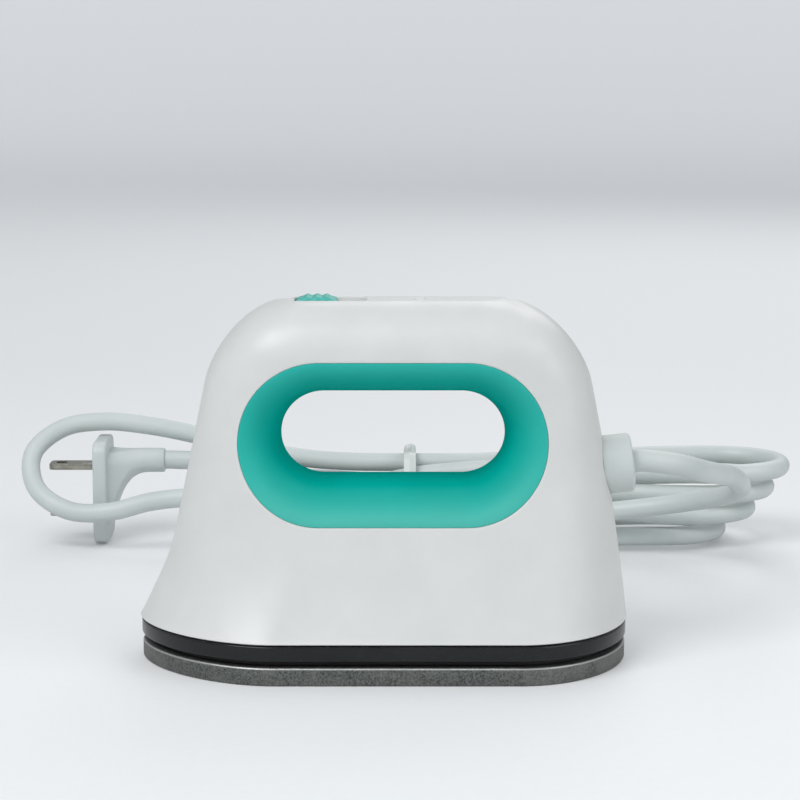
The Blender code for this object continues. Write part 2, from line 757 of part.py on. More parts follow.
# Thermal fuse, its clip and the temperature sensor, lying on the heater's cover
fuse_level = cover_top + seat_gap + fuse_radius
rod("thermal_fuse", (fuse_x - fuse_length / 2, fuse_y, fuse_level), (fuse_x + fuse_length / 2, fuse_y, fuse_level),
    fuse_radius, fuse_body, sides=14)
clip_reach = fuse_radius + seat_gap + clip_wall
clip = block("fuse_clip", (fuse_x - clip_length / 2, fuse_y - clip_reach, cover_top + seat_gap),
             (fuse_x + clip_length / 2, fuse_y + clip_reach, fuse_level + clip_reach), zinc_steel)
clip_room = rod("clip_room_cutter", (fuse_x - clip_length, fuse_y, fuse_level),
                (fuse_x + clip_length, fuse_y, fuse_level),
                fuse_radius + seat_gap, cutter=True, sides=14)
clip_mouth = block("clip_mouth_cutter", (fuse_x - clip_length, fuse_y - fuse_radius - seat_gap, cover_top - overrun),
                   (fuse_x + clip_length, fuse_y + fuse_radius + seat_gap, fuse_level), cutter=True)
cut(clip, clip_room, clip_mouth)
sensor_level = cover_top + seat_gap + sensor_radius
rod("temperature_sensor", (sensor_x - sensor_length / 2, sensor_y, sensor_level),
    (sensor_x + sensor_length / 2, sensor_y, sensor_level), sensor_radius, fuse_body, sides=12)

# Control board with its parts soldered on
board = block("control_board", (board_middle_x - board_half_length, -board_half_width, board_height),
              (board_middle_x + board_half_length, board_half_width, board_height + board_thickness), board_green)
for side_x in (-1, 1):
    ear_x = board_middle_x + side_x * board_post_x
    ear = block("board_ear", (ear_x - board_ear, -board_post_y - board_ear, board_height),
                (ear_x + board_ear, board_post_y + board_ear, board_height + board_thickness), cutter=True)
    join(board, ear)
board_top = board_height + board_thickness / 2
relay = block("relay", (relay_x - relay_size[0] / 2, -relay_size[1] / 2, board_top),
              (relay_x + relay_size[0] / 2, relay_size[1] / 2, board_top + relay_size[2]), cutter=True)
capacitor = rod("capacitor", (capacitor_x, 0.0, board_top), (capacitor_x, 0.0, board_top + capacitor_height),
                capacitor_radius, cutter=True)
triac = block("triac", (triac_x - triac_size[0] / 2, -triac_size[1] / 2, board_top),
              (triac_x + triac_size[0] / 2, triac_size[1] / 2, board_top + triac_size[2]), cutter=True)
join(board, relay, capacitor, triac)
board_screw_top = board_height + board_thickness + seat_gap + screw_head_height
board_screw_tip = board_screw_top - screw_head_height - board_thickness - 4 * screw_radius
board_screw_places = [(board_middle_x + x, y) for x, y in four_places(board_post_x, board_post_y)]
for x, y in board_screw_places:
    hole = rod("board_hole_cutter", (x, y, board_screw_tip - seat_gap), (x, y, board_screw_top + overrun),
               screw_radius + seat_gap, cutter=True, sides=screw_sides)
    cut(board, hole)
    cut(skirt, hole)
screw_set("board_screw", [((x, y, board_screw_top), (x, y, board_screw_tip)) for x, y in board_screw_places])

# Thumb slide: ribbed knob, carrier plate under the top wall and the switch it works
knob_low = slide_low + seat_gap
knob_top = body_height + knob_crest - knob_rib_height


def knob_profile():
    """A low dome with rounded cross ribs, in X and Z."""
    points = [(slide_x + knob_length / 2, knob_low), (slide_x + knob_length / 2, knob_low + recess_depth / 2)]
    steps = knob_rib_count * knob_rib_steps
    ribbed = knob_length * knob_ribbed_share
    for step in range(steps + 1):
        share = step / steps
        along = ribbed * (0.5 - share)
        dome = (knob_top - knob_low - recess_depth / 2) * (1 - (2 * along / knob_length) ** 2)
        rib = knob_rib_height * (0.5 - 0.5 * math.cos(2 * math.pi * knob_rib_count * share))
        points.append((slide_x + along, knob_low + recess_depth / 2 + dome + rib))
    points.append((slide_x - knob_length / 2, knob_low + recess_depth / 2))
    points.append((slide_x - knob_length / 2, knob_low))
    return points


carrier_high = body_height - body_wall - 3 * seat_gap
knob = slab("switch_knob", [knob_profile()], -knob_half_width, knob_half_width, teal_knob, standing=True)
stem = block("knob_stem", (slide_x - stem_length / 2, -stem_half_width, carrier_high + seat_gap),
             (slide_x + stem_length / 2, stem_half_width, knob_low + recess_depth / 4), cutter=True)
join(knob, stem)
carrier_low = carrier_high - carrier_thickness
carrier = block("switch_carrier", (slot_low_x - slide_travel - carrier_margin, -carrier_half_width, carrier_low),
                (slot_high_x + carrier_margin, carrier_half_width, carrier_high), black_resin)
switch_top = carrier_low - seat_gap
lever = block("switch_lever", (slide_x - lever_half, -lever_half, switch_top - lever_drop),
              (slide_x + lever_half, lever_half, carrier_low + carrier_thickness / 2), cutter=True)
join(carrier, lever)
switch_low = opening_middle_z + ring_half_height + seat_gap
switch_middle_x = slide_x + slide_travel / 2
switch_body = block("slide_switch", (switch_middle_x - switch_length / 2, -switch_half_width, switch_low),
                    (switch_middle_x + switch_length / 2, switch_half_width, switch_top), zinc_steel)
lever_room = block("lever_room_cutter", (slide_x - lever_half - seat_gap, -lever_half - seat_gap,
                                         switch_top - switch_slot_depth),
                   (slide_x + slide_travel + lever_half + seat_gap, lever_half + seat_gap, switch_top + overrun),
                   cutter=True)
cut(switch_body, lever_room)

# Indicator lens, flush with the top
lens = rod("indicator_lens", (lens_x, 0.0, carrier_high - lens_flange / 2), (lens_x, 0.0, body_height),
           lens_radius, lens_clear)
lens_foot = rod("lens_foot", (lens_x, 0.0, carrier_high - lens_flange), (lens_x, 0.0, carrier_high),
                lens_flange_radius, cutter=True)
join(lens, lens_foot)


# Strain relief, moulded on the lead
def turned(name, profile, start, direction, material):
    """A profile of radii and heights turned about an axis, top to bottom down its outer side."""
    made = bmesh.new()
    points = [made.verts.new((radius, 0.0, height)) for radius, height in profile]
    for first, second in zip(points, points[1:]):
        made.edges.new((first, second))
    thing = from_bmesh(name, made, material)
    thing.matrix_world = Matrix.Translation(start) @ \
        Vector((0.0, 0.0, 1.0)).rotation_difference(direction).to_matrix().to_4x4()
    spin = thing.modifiers.new("spin", "SCREW")
    spin.steps = 24
    spin.render_steps = 24
    spin.use_merge_vertices = True
    spin.merge_threshold = seat_gap / 10
    spin.use_smooth_shade = True
    return thing


gland_profile = [(0.0, collar_length), (collar_radius - collar_edge, collar_length),
                 (collar_radius - collar_edge * collar_corner_share, collar_length - collar_edge * collar_corner_share),
                 (collar_radius, collar_length - collar_edge), (collar_radius, -collar_sink),
                 (neck_radius, -collar_sink), (neck_radius, gland_inner - collar_sink),
                 (collar_radius, gland_inner - collar_sink), (collar_radius, gland_inner - collar_sink - gland_flange),
                 (0.0, gland_inner - collar_sink - gland_flange)]
turned("cord_gland", gland_profile, gland_seat, gland_axis, cord_white)
rod("inner_cord", gland_inside, inner_cord_end, cord_radius, cord_white, sides=12)

# Cord clamp: a saddle under the inner cord, standing on the terminal post's shelf
clamp = block("cord_clamp", (clamp_middle.x - clamp_length / 2, -clamp_half_width, terminal_post_height),
              (clamp_middle.x + clamp_length / 2, clamp_half_width, clamp_middle.z), black_resin)
clamp_room = rod("clamp_room_cutter", gland_inside + gland_axis * overrun, inner_cord_end - gland_axis * overrun,
                 cord_radius + seat_gap, cutter=True)
cut(clamp, clamp_room)

# Terminal block on its post
block("terminal_block", (terminal_x - terminal_half.x, -terminal_half.y, terminal_post_height),
      (terminal_x + terminal_half.x, terminal_half.y, terminal_post_height + terminal_size[2]), white_shell)


# Smooth routes and tubes
def smooth_route(points, spacing):
    """Points read at even steps from a smooth curve through the route's own points."""
    points = [Vector(point) for point in points]
    ends = [points[0] * 2 - points[1]] + points + [points[-1] * 2 - points[-2]]
    dense = []
    for before, start, finish_point, after in zip(ends, ends[1:], ends[2:], ends[3:]):
        handle_out = (finish_point - before) / 6
        handle_in = (after - start) / 6
        dense += geometry.interpolate_bezier(start, start + handle_out, finish_point - handle_in, finish_point, 24)[:-1]
    dense.append(points[-1])
    lengths = [0.0]
    for first, second in zip(dense, dense[1:]):
        lengths.append(lengths[-1] + (second - first).length)
    count = max(3, round(lengths[-1] / spacing))
    even = []
    index = 0
    for step in range(count + 1):
        wanted = lengths[-1] * step / count
        while index < len(dense) - 2 and lengths[index + 1] < wanted:
            index += 1
        span = lengths[index + 1] - lengths[index]
        even.append(dense[index].lerp(dense[index + 1], (wanted - lengths[index]) / span if span else 0.0))
    return even


def tube(name, points, radius, material, resolution=2):
    data = bpy.data.curves.new(name, "CURVE")
    data.dimensions = "3D"
    data.bevel_depth = radius
    data.bevel_resolution = resolution
    data.use_fill_caps = True
    spline = data.splines.new("POLY")
    spline.points.add(len(points) - 1)
    for point, co in zip(spline.points, points):
        point.co = (*co, 1.0)
    thing = bpy.data.objects.new(name, data)
    cutters.objects.link(thing)
    return as_mesh(thing, material, smooth=True)


# Inner wires
wire_gap = wire_radius + seat_gap
board_under = board_height - wire_gap
wire_low = cover_top + wire_gap
climb_x = sensor_x + sensor_length / 2 + wire_slack
for name, side in (("heater_wire_live", -1), ("heater_wire_neutral", 1)):
    wire_y = side * heater_wire_y
    route = [(climb_x - 2 * wire_slack, wire_y, wire_low), (climb_x - wire_slack, wire_y, wire_low),
             (climb_x, wire_y, (wire_low + board_under) / 2), (climb_x, wire_y, board_under - wire_radius),
             (climb_x, wire_y, board_under)]
    tube(name, smooth_route(route, 4 * wire_radius), wire_radius, black_resin)
for name, side in (("mains_wire_live", -1), ("mains_wire_neutral", 1)):
    start = Vector((terminal_x - terminal_half.x - wire_gap, side * wire_pitch,
                    terminal_post_height + terminal_half.z))
    landing = Vector((triac_x + wire_landing + wire_gap, side * wire_pitch,
                      board_height + board_thickness + wire_gap))
    middle = (start + landing) / 2 + Vector((0.0, 0.0, wire_rise))
    route = [start, start + Vector((-wire_slack, 0.0, wire_radius)), middle,
             landing + Vector((wire_radius, 0.0, wire_slack)), landing]
    tube(name, smooth_route(route, 4 * wire_radius), wire_radius, black_resin)
ring_core_x = opening_middle_x - ring_half_length + ring_half_height
switch_wire_route = [(switch_middle_x - switch_length / 2 - wire_gap, 0.0, switch_low + 2 * wire_radius)]
for degrees in switch_wire_angles:
    angle = math.radians(degrees)
    reach = ring_half_height + switch_wire_clearance
    switch_wire_route.append((ring_core_x - reach * math.cos(angle), 0.0, opening_middle_z + reach * math.sin(angle)))
board_wire_level = board_height + board_thickness + wire_gap
switch_landing = Vector((board_middle_x - board_half_length + wire_landing, 0.0, board_wire_level))
switch_wire_route += [switch_landing + Vector((-wire_radius, 0.0, 2 * wire_slack)), switch_landing]
tube("switch_wire", smooth_route(switch_wire_route, 5 * wire_radius), wire_radius, black_resin)


# The hank: loops drawn in at the tie, going down one layer along each front run
def hank_side_reach(x, right_reach):
    """Half width of a loop at a place along the hank."""
    reach = hank_left_reach if x < hank_tie_x else right_reach
    along = min(abs(x - hank_tie_x) / reach, 1.0)
    swell = math.sqrt(hank_fold_radius * reach) - hank_waist
    return math.sqrt(1 - along * along) * (hank_waist + swell * along * along)


def hank_angle(x, right_reach, front):
    angle = math.acos((x - hank_tie_x) / (right_reach if x > hank_tie_x else hank_left_reach))
    return angle if front else -angle


def hank_point(turn, angle):
    """A place on one turn of the hank; angle 0 is its fold on the right."""
    right_reach = hank_right_reaches[turn]
    x = hank_tie_x + (hank_left_reach if math.cos(angle) < 0 else right_reach) * math.cos(angle)
    side = -1 if 0 < angle < math.pi else 1
    y = hank_middle_y + side * hank_side_reach(x, right_reach)
    layer = len(hank_right_reaches) - 1 - turn
    last = layer == 0
    if 0 < angle and not last:
        passed = (hank_tie_x + hank_climb_reach - x) / (2 * hank_climb_reach)
        layer -= eased(min(max(passed, 0.0), 1.0)) if angle < math.pi else 1
    if last and 0 < angle:
        y -= hank_side_step * eased(min(max((hank_shift_start - x) / (hank_shift_start - hank_shift_end), 0.0), 1.0))
    return Vector((x, y, hank_level + hank_pitch * layer))


def hank_route():
    points = []
    turns = len(hank_right_reaches)
    for turn, right_reach in enumerate(hank_right_reaches):
        first = hank_angle(hank_start_x, right_reach, False)
        last = first + 2 * math.pi
        if turn == turns - 1:
            last = hank_angle(hank_end_x, right_reach, True)
        count = round(loop_points * (last - first) / (2 * math.pi))
        for step in range(count if turn < turns - 1 else count + 1):
            points.append(hank_point(turn, first + (last - first) * step / count))
    return points


def squared_ends(points, length):
    """The same route with a straight piece added at each end, in line with it."""
    head = (points[0] - points[1]).normalized() * length
    foot = (points[-1] - points[-2]).normalized() * length
    return [points[0] + head] + points + [points[-1] + foot]


hank_points = squared_ends(hank_route(), 2 * cord_radius)
tube("cord_hank", hank_points, cord_radius, cord_white, resolution=1)
hank_head, hank_foot = hank_points[0], hank_points[-1]
head_direction = (hank_points[0] - hank_points[1]).normalized()
foot_direction = (hank_points[-1] - hank_points[-2]).normalized()

# Lead from the strain relief, round behind the body, past the plug and back over it to the hank
lead_start = gland_seat + gland_axis * (collar_length + seat_gap)
lead_end = hank_head + head_direction * seat_gap
lead_route = [lead_start, lead_start + gland_axis * 2 * cord_radius,
              (0.0690, 0.0050, 0.0432), (0.0770, 0.0170, 0.0402), (0.0840, 0.0330, 0.0357),
              (0.0900, 0.0500, 0.0300), (0.0935, 0.0670, 0.0240), (0.0925, 0.0830, 0.0185),
              (0.0850, 0.0950, 0.0145), (0.0710, 0.1020, 0.0115), (0.0530, 0.1048, 0.0104),
              (0.0340, 0.1114, 0.0098), (0.0080, 0.1148, 0.0096), (-0.0060, 0.1118, 0.0097),
              (-0.0180, 0.1072, 0.0102), (-0.0300, 0.1056, 0.0106), (-0.0450, 0.1056, 0.0100),
              (-0.0620, 0.1072, 0.0092), (-0.0780, 0.1085, 0.0094), (-0.0890, 0.1106, 0.0124),
              (-0.0955, 0.1155, 0.0185), (-0.0950, 0.1215, 0.0255), (-0.0880, 0.1258, 0.0305),
              (-0.0770, 0.1275, 0.0322), (-0.0600, 0.1280, 0.0318), (-0.0420, 0.1275, 0.0288),
              (-0.0240, 0.1270, 0.0256), (-0.0110, 0.1268, 0.0228), (0.0000, 0.1268, 0.0211),
              (0.0100, 0.1268, 0.0209),
              lead_end + head_direction * 2 * cord_radius, lead_end]
lead_points = smooth_route(lead_route, tube_spacing)
lead_points = [lead_points[0], lead_points[0] + gland_axis * cord_radius] + lead_points[1:-1] + \
    [lead_points[-1] + head_direction * cord_radius, lead_points[-1]]
tube("cord_lead", lead_points, cord_radius, cord_white)

# Tail from the hank to the plug
plug_neck_end = flange_face_x + flange_thickness + plug_body_length + plug_neck_length
tail_start = hank_foot + foot_direction * seat_gap
tail_end = Vector((plug_neck_end + seat_gap, plug_y, plug_level))
plug_axis = Vector((1.0, 0.0, 0.0))
tail_route = [tail_start, tail_start + foot_direction * 2 * cord_radius,
              (-0.0080, 0.1110, 0.0038), (-0.0170, 0.1076, 0.0038), (-0.0260, 0.1066, 0.0042), (-0.0350, 0.1100, 0.0058),
              (-0.0430, 0.1148, 0.0085), (-0.0500, 0.1195, 0.0115), tail_end + plug_axis * 2 * cord_radius, tail_end]
tail_points = smooth_route(tail_route, tube_spacing)
tail_points = [tail_start, tail_start + foot_direction * cord_radius] + tail_points[1:-1] + \
    [tail_end + plug_axis * cord_radius, tail_end]
tube("cord_tail", tail_points, cord_radius, cord_white)


def route_length(points):
    return sum((second - first).length for first, second in zip(points, points[1:]))


def least_gap(points, apart):
    """The least clear space between stretches of the cord that lie apart along its length."""
    dense = []
    for first, second in zip(points, points[1:]):
        dense += [first.lerp(second, share / 6) for share in range(6)]
    along = [0.0]
    for first, second in zip(dense, dense[1:]):
        along.append(along[-1] + (second - first).length)
    least = min((first - second).length for index, first in enumerate(dense)
                for other, second in enumerate(dense[index + 1:], index + 1) if along[other] - along[index] > apart)
    return least - 2 * cord_radius


whole_cord = lead_points + hank_points + tail_points
print("cord length", round(route_length(whole_cord), 4))
print("hank gap to itself", round(least_gap(hank_points, 8 * cord_radius), 5))
print("cord gap to itself", round(least_gap(whole_cord, 8 * cord_radius), 5))


# Tie round the hank and the run on it
def hull_outline(centres, radius, steps=28):
    """The convex outline that encloses equal circles, in Y and Z."""
    points = []
    for step in range(steps):
        angle = 2 * math.pi * step / steps
        across, up = math.cos(angle), math.sin(angle)
        y, z = max(centres, key=lambda centre: centre[0] * across + centre[1] * up)
        points.append((y + radius * across, z + radius * up))
    return points


top_level = hank_level + (len(hank_right_reaches) - 1) * hank_pitch
front_y = hank_middle_y - hank_waist
back_y = hank_middle_y + hank_waist
waist_columns = [(front_y - hank_side_step, hank_level), (front_y - hank_side_step, hank_level + hank_pitch),
                 (front_y, top_level), (back_y, hank_level), (back_y, top_level)]
tie_inner = cord_radius + 2 * seat_gap
tie = slab("cord_tie",
           [hull_outline(waist_columns, tie_inner + tie_thickness), hull_outline(waist_columns, tie_inner)],
           -tie_half_width, tie_half_width, tie_white)
tie.matrix_world = Matrix.Translation((hank_tie_x, 0.0, 0.0)) @ \
    Matrix(((0.0, 0.0, 1.0, 0.0), (1.0, 0.0, 0.0, 0.0), (0.0, 1.0, 0.0, 0.0), (0.0, 0.0, 0.0, 1.0)))
tie_top = top_level + tie_inner
tie_nub = rod("tie_nub", (hank_tie_x, hank_middle_y, tie_top), (hank_tie_x, hank_middle_y, tie_top + tie_nub_height),
              tie_nub_radius, cutter=True, sides=10)
join(tie, tie_nub)


# Plug, standing on the edge of its flange
def rounded_rectangle(half_y, half_z, radius, steps=4):
    points = []
    for quarter in range(4):
        centre_y = (half_y - radius) * (1 if quarter in (0, 3) else -1)
        centre_z = (half_z - radius) * (1 if quarter in (0, 1) else -1)
        for step in range(steps + 1):
            angle = math.pi / 2 * (quarter + step / steps)
            points.append((centre_y + radius * math.cos(angle), centre_z + radius * math.sin(angle)))
    return points


def plug_loft():
    body_start = flange_face_x + flange_thickness
    body_end = body_start + plug_body_length
    chamfer = flange_corner / 5
    neck_half = plug_neck_radius * plug_neck_share
    waist_along, waist_depth, waist_height, waist_corner = plug_waist_shares
    end_depth, end_height, end_corner = plug_end_shares
    sections = [(flange_face_x, flange_half_depth - chamfer, flange_half_height - chamfer, flange_corner),
                (flange_face_x + chamfer, flange_half_depth, flange_half_height, flange_corner),
                (body_start - chamfer, flange_half_depth, flange_half_height, flange_corner),
                (body_start, plug_body_half_depth, plug_body_half_height, flange_corner),
                (body_start + plug_body_length * waist_along, plug_body_half_depth * waist_depth,
                 plug_body_half_height * waist_height, flange_corner * waist_corner),
                (body_end - chamfer, plug_body_half_depth * end_depth, plug_body_half_height * end_height,
                 flange_corner * end_corner),
                (body_end, plug_neck_radius, plug_neck_radius, plug_neck_radius),
                (plug_neck_end, neck_half, neck_half, neck_half)]
    made = bmesh.new()
    rings = []
    for x, half_y, half_z, radius in sections:
        outline = rounded_rectangle(half_y, half_z, radius)
        rings.append([made.verts.new((x, plug_y + y, plug_level + z)) for y, z in outline])
    count = len(rings[0])
    for lower, upper in zip(rings, rings[1:]):
        for index in range(count):
            following = (index + 1) % count
            made.faces.new((lower[index], lower[following], upper[following], upper[index]))
    made.faces.new(list(reversed(rings[0])))
    made.faces.new(rings[-1])
    bmesh.ops.remove_doubles(made, verts=made.verts, dist=seat_gap / 100)
    return from_bmesh("plug_body", made, cord_white, smooth=True)


plug = plug_loft()
for name, side in (("plug_blade_upper", 1), ("plug_blade_lower", -1)):
    level = plug_level + side * blade_spacing / 2
    block(name, (flange_face_x - blade_length, plug_y - blade_half_width, level - blade_half_thickness),
          (flange_face_x + blade_root, plug_y + blade_half_width, level + blade_half_thickness),
          blade_brass, bevel=blade_half_thickness / 3)
    socket = block("blade_socket_cutter",
                   (flange_face_x - overrun, plug_y - blade_half_width - seat_gap,
                    level - blade_half_thickness - seat_gap),
                   (flange_face_x + blade_root + seat_gap, plug_y + blade_half_width + seat_gap,
                    level + blade_half_thickness + seat_gap), cutter=True)
    cut(plug, socket)
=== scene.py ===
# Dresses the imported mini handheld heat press: smooth mouldings, liner, plate, lead and plug,
# with their finishes.
# Metres, in the CAD frame: +Z up, +X towards the lead, the side seen first at -Y.

import json
import math

import bmesh
import bpy
from mathutils import Matrix, Vector, geometry


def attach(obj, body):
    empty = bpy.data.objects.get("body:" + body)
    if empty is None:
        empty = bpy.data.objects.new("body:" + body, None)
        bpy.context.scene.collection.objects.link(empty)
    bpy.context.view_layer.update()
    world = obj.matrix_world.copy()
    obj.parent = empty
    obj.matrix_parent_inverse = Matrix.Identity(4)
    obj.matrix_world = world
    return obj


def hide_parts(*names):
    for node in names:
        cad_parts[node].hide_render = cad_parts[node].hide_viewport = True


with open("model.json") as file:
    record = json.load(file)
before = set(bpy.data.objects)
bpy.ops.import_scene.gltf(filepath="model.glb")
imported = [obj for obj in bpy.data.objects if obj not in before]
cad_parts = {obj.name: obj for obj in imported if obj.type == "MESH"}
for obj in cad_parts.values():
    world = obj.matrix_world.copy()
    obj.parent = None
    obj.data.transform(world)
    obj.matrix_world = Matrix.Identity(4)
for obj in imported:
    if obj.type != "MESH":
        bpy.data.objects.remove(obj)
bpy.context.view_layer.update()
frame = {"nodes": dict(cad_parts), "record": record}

# Clearances and edges
seat_gap = 0.0003
merge_reach = 0.000002
sharp_angle = 35.0
edge_angle = 50.0
edge_segments = 3

# Mesh steps
side_steps = 64
spin_steps = 64
small_spin_steps = 40
hole_spin_steps = 32
corner_steps = 4
# Each half of the shell has these steps along its foot, tail end, top and nose
shell_side_counts = (120, 66, 60, 66)
shell_ring_steps = 44
lip_steps = 4
skin_steps = 9
liner_turn_steps = 192
liner_depth_steps = 26
knob_steps = (96, 40)
collar_edge_steps = 5
curve_steps = 24
tie_turn_steps = 96
tie_end_steps = (20, 30)
plug_turn_steps = 96
flange_edge_steps = 4
plug_body_steps = 18
neck_end_steps = 6
blade_edge_steps = (4, 2)
sweep_steps = (2, 160)

# Plate and skirt
base_half_length = 0.0539
base_half_width = 0.0294
plate_thickness = 0.0040
plate_inset = 0.0004
plate_edge_radius = 0.0005
# The painted highlight along the plate's upper edge comes and goes at these parts of the edge's radius below
# the plate's top
plate_highlight_rise = (1.0, 0.6)
plate_highlight_fall = (0.3, 0.1)
recess_height = 0.0013
recess_inset = 0.0024
skirt_height = 0.0037
skirt_floor_thickness = 0.0016
skirt_wall = 0.0022
skirt_inset = 0.0002
skirt_edge_radius = 0.0005
tongue_inset = 0.0046
tongue_wall = 0.0014
tongue_height = 0.0030

# Moulded body
body_height = 0.0794
shoulder_drop = 0.0184
crown_drop = 0.0120
flat_nose_reach = 0.0206
flat_tail_reach = 0.0259
flat_half_width = 0.0040
nose_shoulder_reach = 0.0392
tail_shoulder_reach = 0.0457
shoulder_half_width = 0.0158
tail_bow = 0.0006
flare_rise_share = 0.205
flare_reach = 0.0469
flare_softness = 0.0010
flank_bow = 0.0030
base_nose_round = 0.0304
base_tail_round = 0.0245
shoulder_nose_round = 0.0175
shoulder_tail_round = 0.0165
top_nose_round = 0.0060
top_tail_round = 0.0060
base_nose_power = 1.72
base_tail_power = 1.90
shoulder_power = 2.30
body_wall = 0.0022
shell_lip = 0.00025
seam_gap = 0.0002
window_gap = 0.00004
throat_gap = 0.00012

# Finger opening and its liner
opening_middle_x = 0.0021
opening_middle_z = 0.0498
rim_half_length = 0.03325
rim_half_height = 0.01735
throat_half_length = 0.0246
throat_half_height = 0.00965
liner_wall = 0.0012
# The liner's painted glow, standing in for light let through the plastic, rises between these two depths
liner_deep_reach = 0.0080
liner_painted_glow_reach = 0.0235
liner_edge_radius = 0.00010
liner_rim_specular = 0.18

# Thumb slide
slide_x = -0.0145
slide_travel = 0.0060
knob_length = 0.0088
knob_half_width = 0.0040
knob_crest = 0.0008
knob_rib_height = 0.00035
knob_rib_count = 3
knob_ribbed_share = 0.72
knob_corner_share = 0.20
knob_end_fall = 0.80
knob_end_power = 4
recess_depth = 0.0010
recess_margin = 0.00045
# The recess's corner radius is its half width divided by this
recess_corner_part = 5
lens_x = 0.0080
lens_radius = 0.0014

# Mains entry
gland_height = 0.0426
gland_tilt = math.radians(6.0)
collar_radius = 0.0065
collar_length = 0.0057
collar_edge = 0.0009
collar_sink = 0.0010
neck_radius = 0.0044
cord_radius = 0.0025

# Lead
hank_tie_x = 0.0080
hank_middle_y = 0.1240
hank_level = 0.0038
hank_pitch = 0.0057
hank_waist = 0.0028
hank_side_step = 0.0066
hank_left_reach = 0.0400
hank_right_reaches = (0.0990, 0.0950, 0.0900, 0.0820)
top_layer = len(hank_right_reaches) - 1
hank_fold_radius = 0.0150
hank_climb_reach = 0.0240
hank_shift_start = 0.0750
hank_shift_end = 0.0360
hank_start_x = 0.0300
hank_end_x = 0.0100
loop_points = 24
tube_spacing = 0.0115
cord_point_spacing = 0.0020
cord_roundness = 6
end_tuck = 0.0009
tie_shift = -0.0017
tie_thickness = 0.0005
tie_half_width = 0.0016
tie_nub_radius = 0.0011
tie_end_height = 0.0024
tie_twist_turns = 0.35

# Plug
plug_y = 0.1240
plug_level = 0.0142
flange_face_x = -0.0790
flange_thickness = 0.0038
flange_half_height = 0.0138
flange_half_depth = 0.0095
flange_corner = 0.0030
plug_body_half_height = 0.0106
plug_body_half_depth = 0.0078
plug_neck_radius = 0.0033
plug_neck_rise = 0.0078
plug_body_length = 0.0110
plug_neck_length = 0.0040
plug_underside_power = 2.8
plug_side_power = 1.6
plug_neck_edge = 0.0006
plug_most_round = 0.999
blade_length = 0.0125
blade_half_width = 0.0032
blade_half_thickness = 0.0008
blade_spacing = 0.0127

# Floor, backdrop and light
floor_near = -4.0
floor_far = 2.4
floor_half_width = 5.0
cove_radius = 1.2
cove_height = 2.6
floor_glow_start = 0.5
floor_glow_near = 0.10
floor_glow_far = 0.36
sky_strength = 0.51
sky_seen_extra = 0.22
lamp_aim = (0.0, 0.0, 0.04)

# Heights that follow from the stack
skirt_low = plate_thickness + recess_height
skirt_top = skirt_low + skirt_height - seat_gap
body_low = skirt_low + skirt_height
shoulder_height = body_height - shoulder_drop
crown_start = body_height - crown_drop
skirt_floor_top = skirt_low + skirt_floor_thickness

# Camera, at the photograph's viewing angle
camera_place = (0.003626, -0.53018, 0.13622)
camera_pitch = math.radians(81.5)
camera_lens = 109.8
camera_sensor = 36.0

camera_data = bpy.data.cameras.new("camera")
camera_data.lens = camera_lens
camera_data.sensor_width = camera_sensor
camera_data.clip_start = 0.01
camera_data.clip_end = 50.0
camera = bpy.data.objects.new("camera", camera_data)
camera.location = camera_place
camera.rotation_euler = (camera_pitch, 0.0, 0.0)
bpy.context.scene.collection.objects.link(camera)
bpy.context.scene.camera = camera
bpy.context.scene.view_settings.view_transform = "Standard"


# Node helpers
def feed(tree, entry, value):
    """Set a node's input, or link it where the value is another node's output."""
    if isinstance(value, bpy.types.NodeSocket):
        tree.links.new(value, entry)
    else:
        entry.default_value = value


def add_node(tree, kind, inputs=None, **settings):
    node = tree.nodes.new(kind)
    for name, value in settings.items():
        setattr(node, name, value)
    for entry, value in (inputs or {}).items():
        feed(tree, node.inputs[entry], value)
    return node


def place_on_piece(tree):
    """The place on a piece, in its own metres."""
    return add_node(tree, "ShaderNodeTexCoord").outputs["Object"]


def one_axis(tree, vector, axis):
    return add_node(tree, "ShaderNodeSeparateXYZ", {"Vector": vector}).outputs[axis]


def noise(tree, scale, detail=3.0, rough=0.5, stretch=None):
    """A noise in the piece's own metres, stretched along an axis where asked."""
    place = place_on_piece(tree)
    if stretch is not None:
        mapping = add_node(tree, "ShaderNodeMapping", {"Vector": place, "Scale": stretch})
        place = mapping.outputs["Vector"]
    inputs = {"Vector": place, "Scale": scale, "Detail": detail, "Roughness": rough}
    return add_node(tree, "ShaderNodeTexNoise", inputs).outputs["Fac"]


def spread(tree, source, low, high, to_low=0.0, to_high=1.0):
    """Map a value from one range to another."""
    inputs = {"Value": source, "From Min": low, "From Max": high, "To Min": to_low, "To Max": to_high}
    return add_node(tree, "ShaderNodeMapRange", inputs).outputs["Result"]


def combine(tree, first, second, operation="ADD", clamp=False):
    """Two values added, or put through another operation."""
    node = add_node(tree, "ShaderNodeMath", {0: first, 1: second}, operation=operation, use_clamp=clamp)
    return node.outputs["Value"]


def scaled(tree, first, second, clamp=False):
    return combine(tree, first, second, "MULTIPLY", clamp)


def blend_colours(tree, factor, first, second):
    """The first colour turning to the second as the factor rises."""
    inputs = {0: factor}
    for entry, colour in ((6, first), (7, second)):
        inputs[entry] = (*colour, 1.0) if isinstance(colour, tuple) else colour
    return add_node(tree, "ShaderNodeMix", inputs, data_type="RGBA").outputs[2]


def new_group(name, entries, exits):
    """A node group of plain numbers, with what its nodes are given and where they put out."""
    group = bpy.data.node_groups.new(name, "ShaderNodeTree")
    for label, value in entries.items():
        entry = group.interface.new_socket(name=label, in_out="INPUT", socket_type="NodeSocketFloat")
        entry.default_value = value
    for label in exits:
        group.interface.new_socket(name=label, in_out="OUTPUT", socket_type="NodeSocketFloat")
    given = group.nodes.new("NodeGroupInput").outputs
    exits = group.nodes.new("NodeGroupOutput").inputs
    return group, given, exits


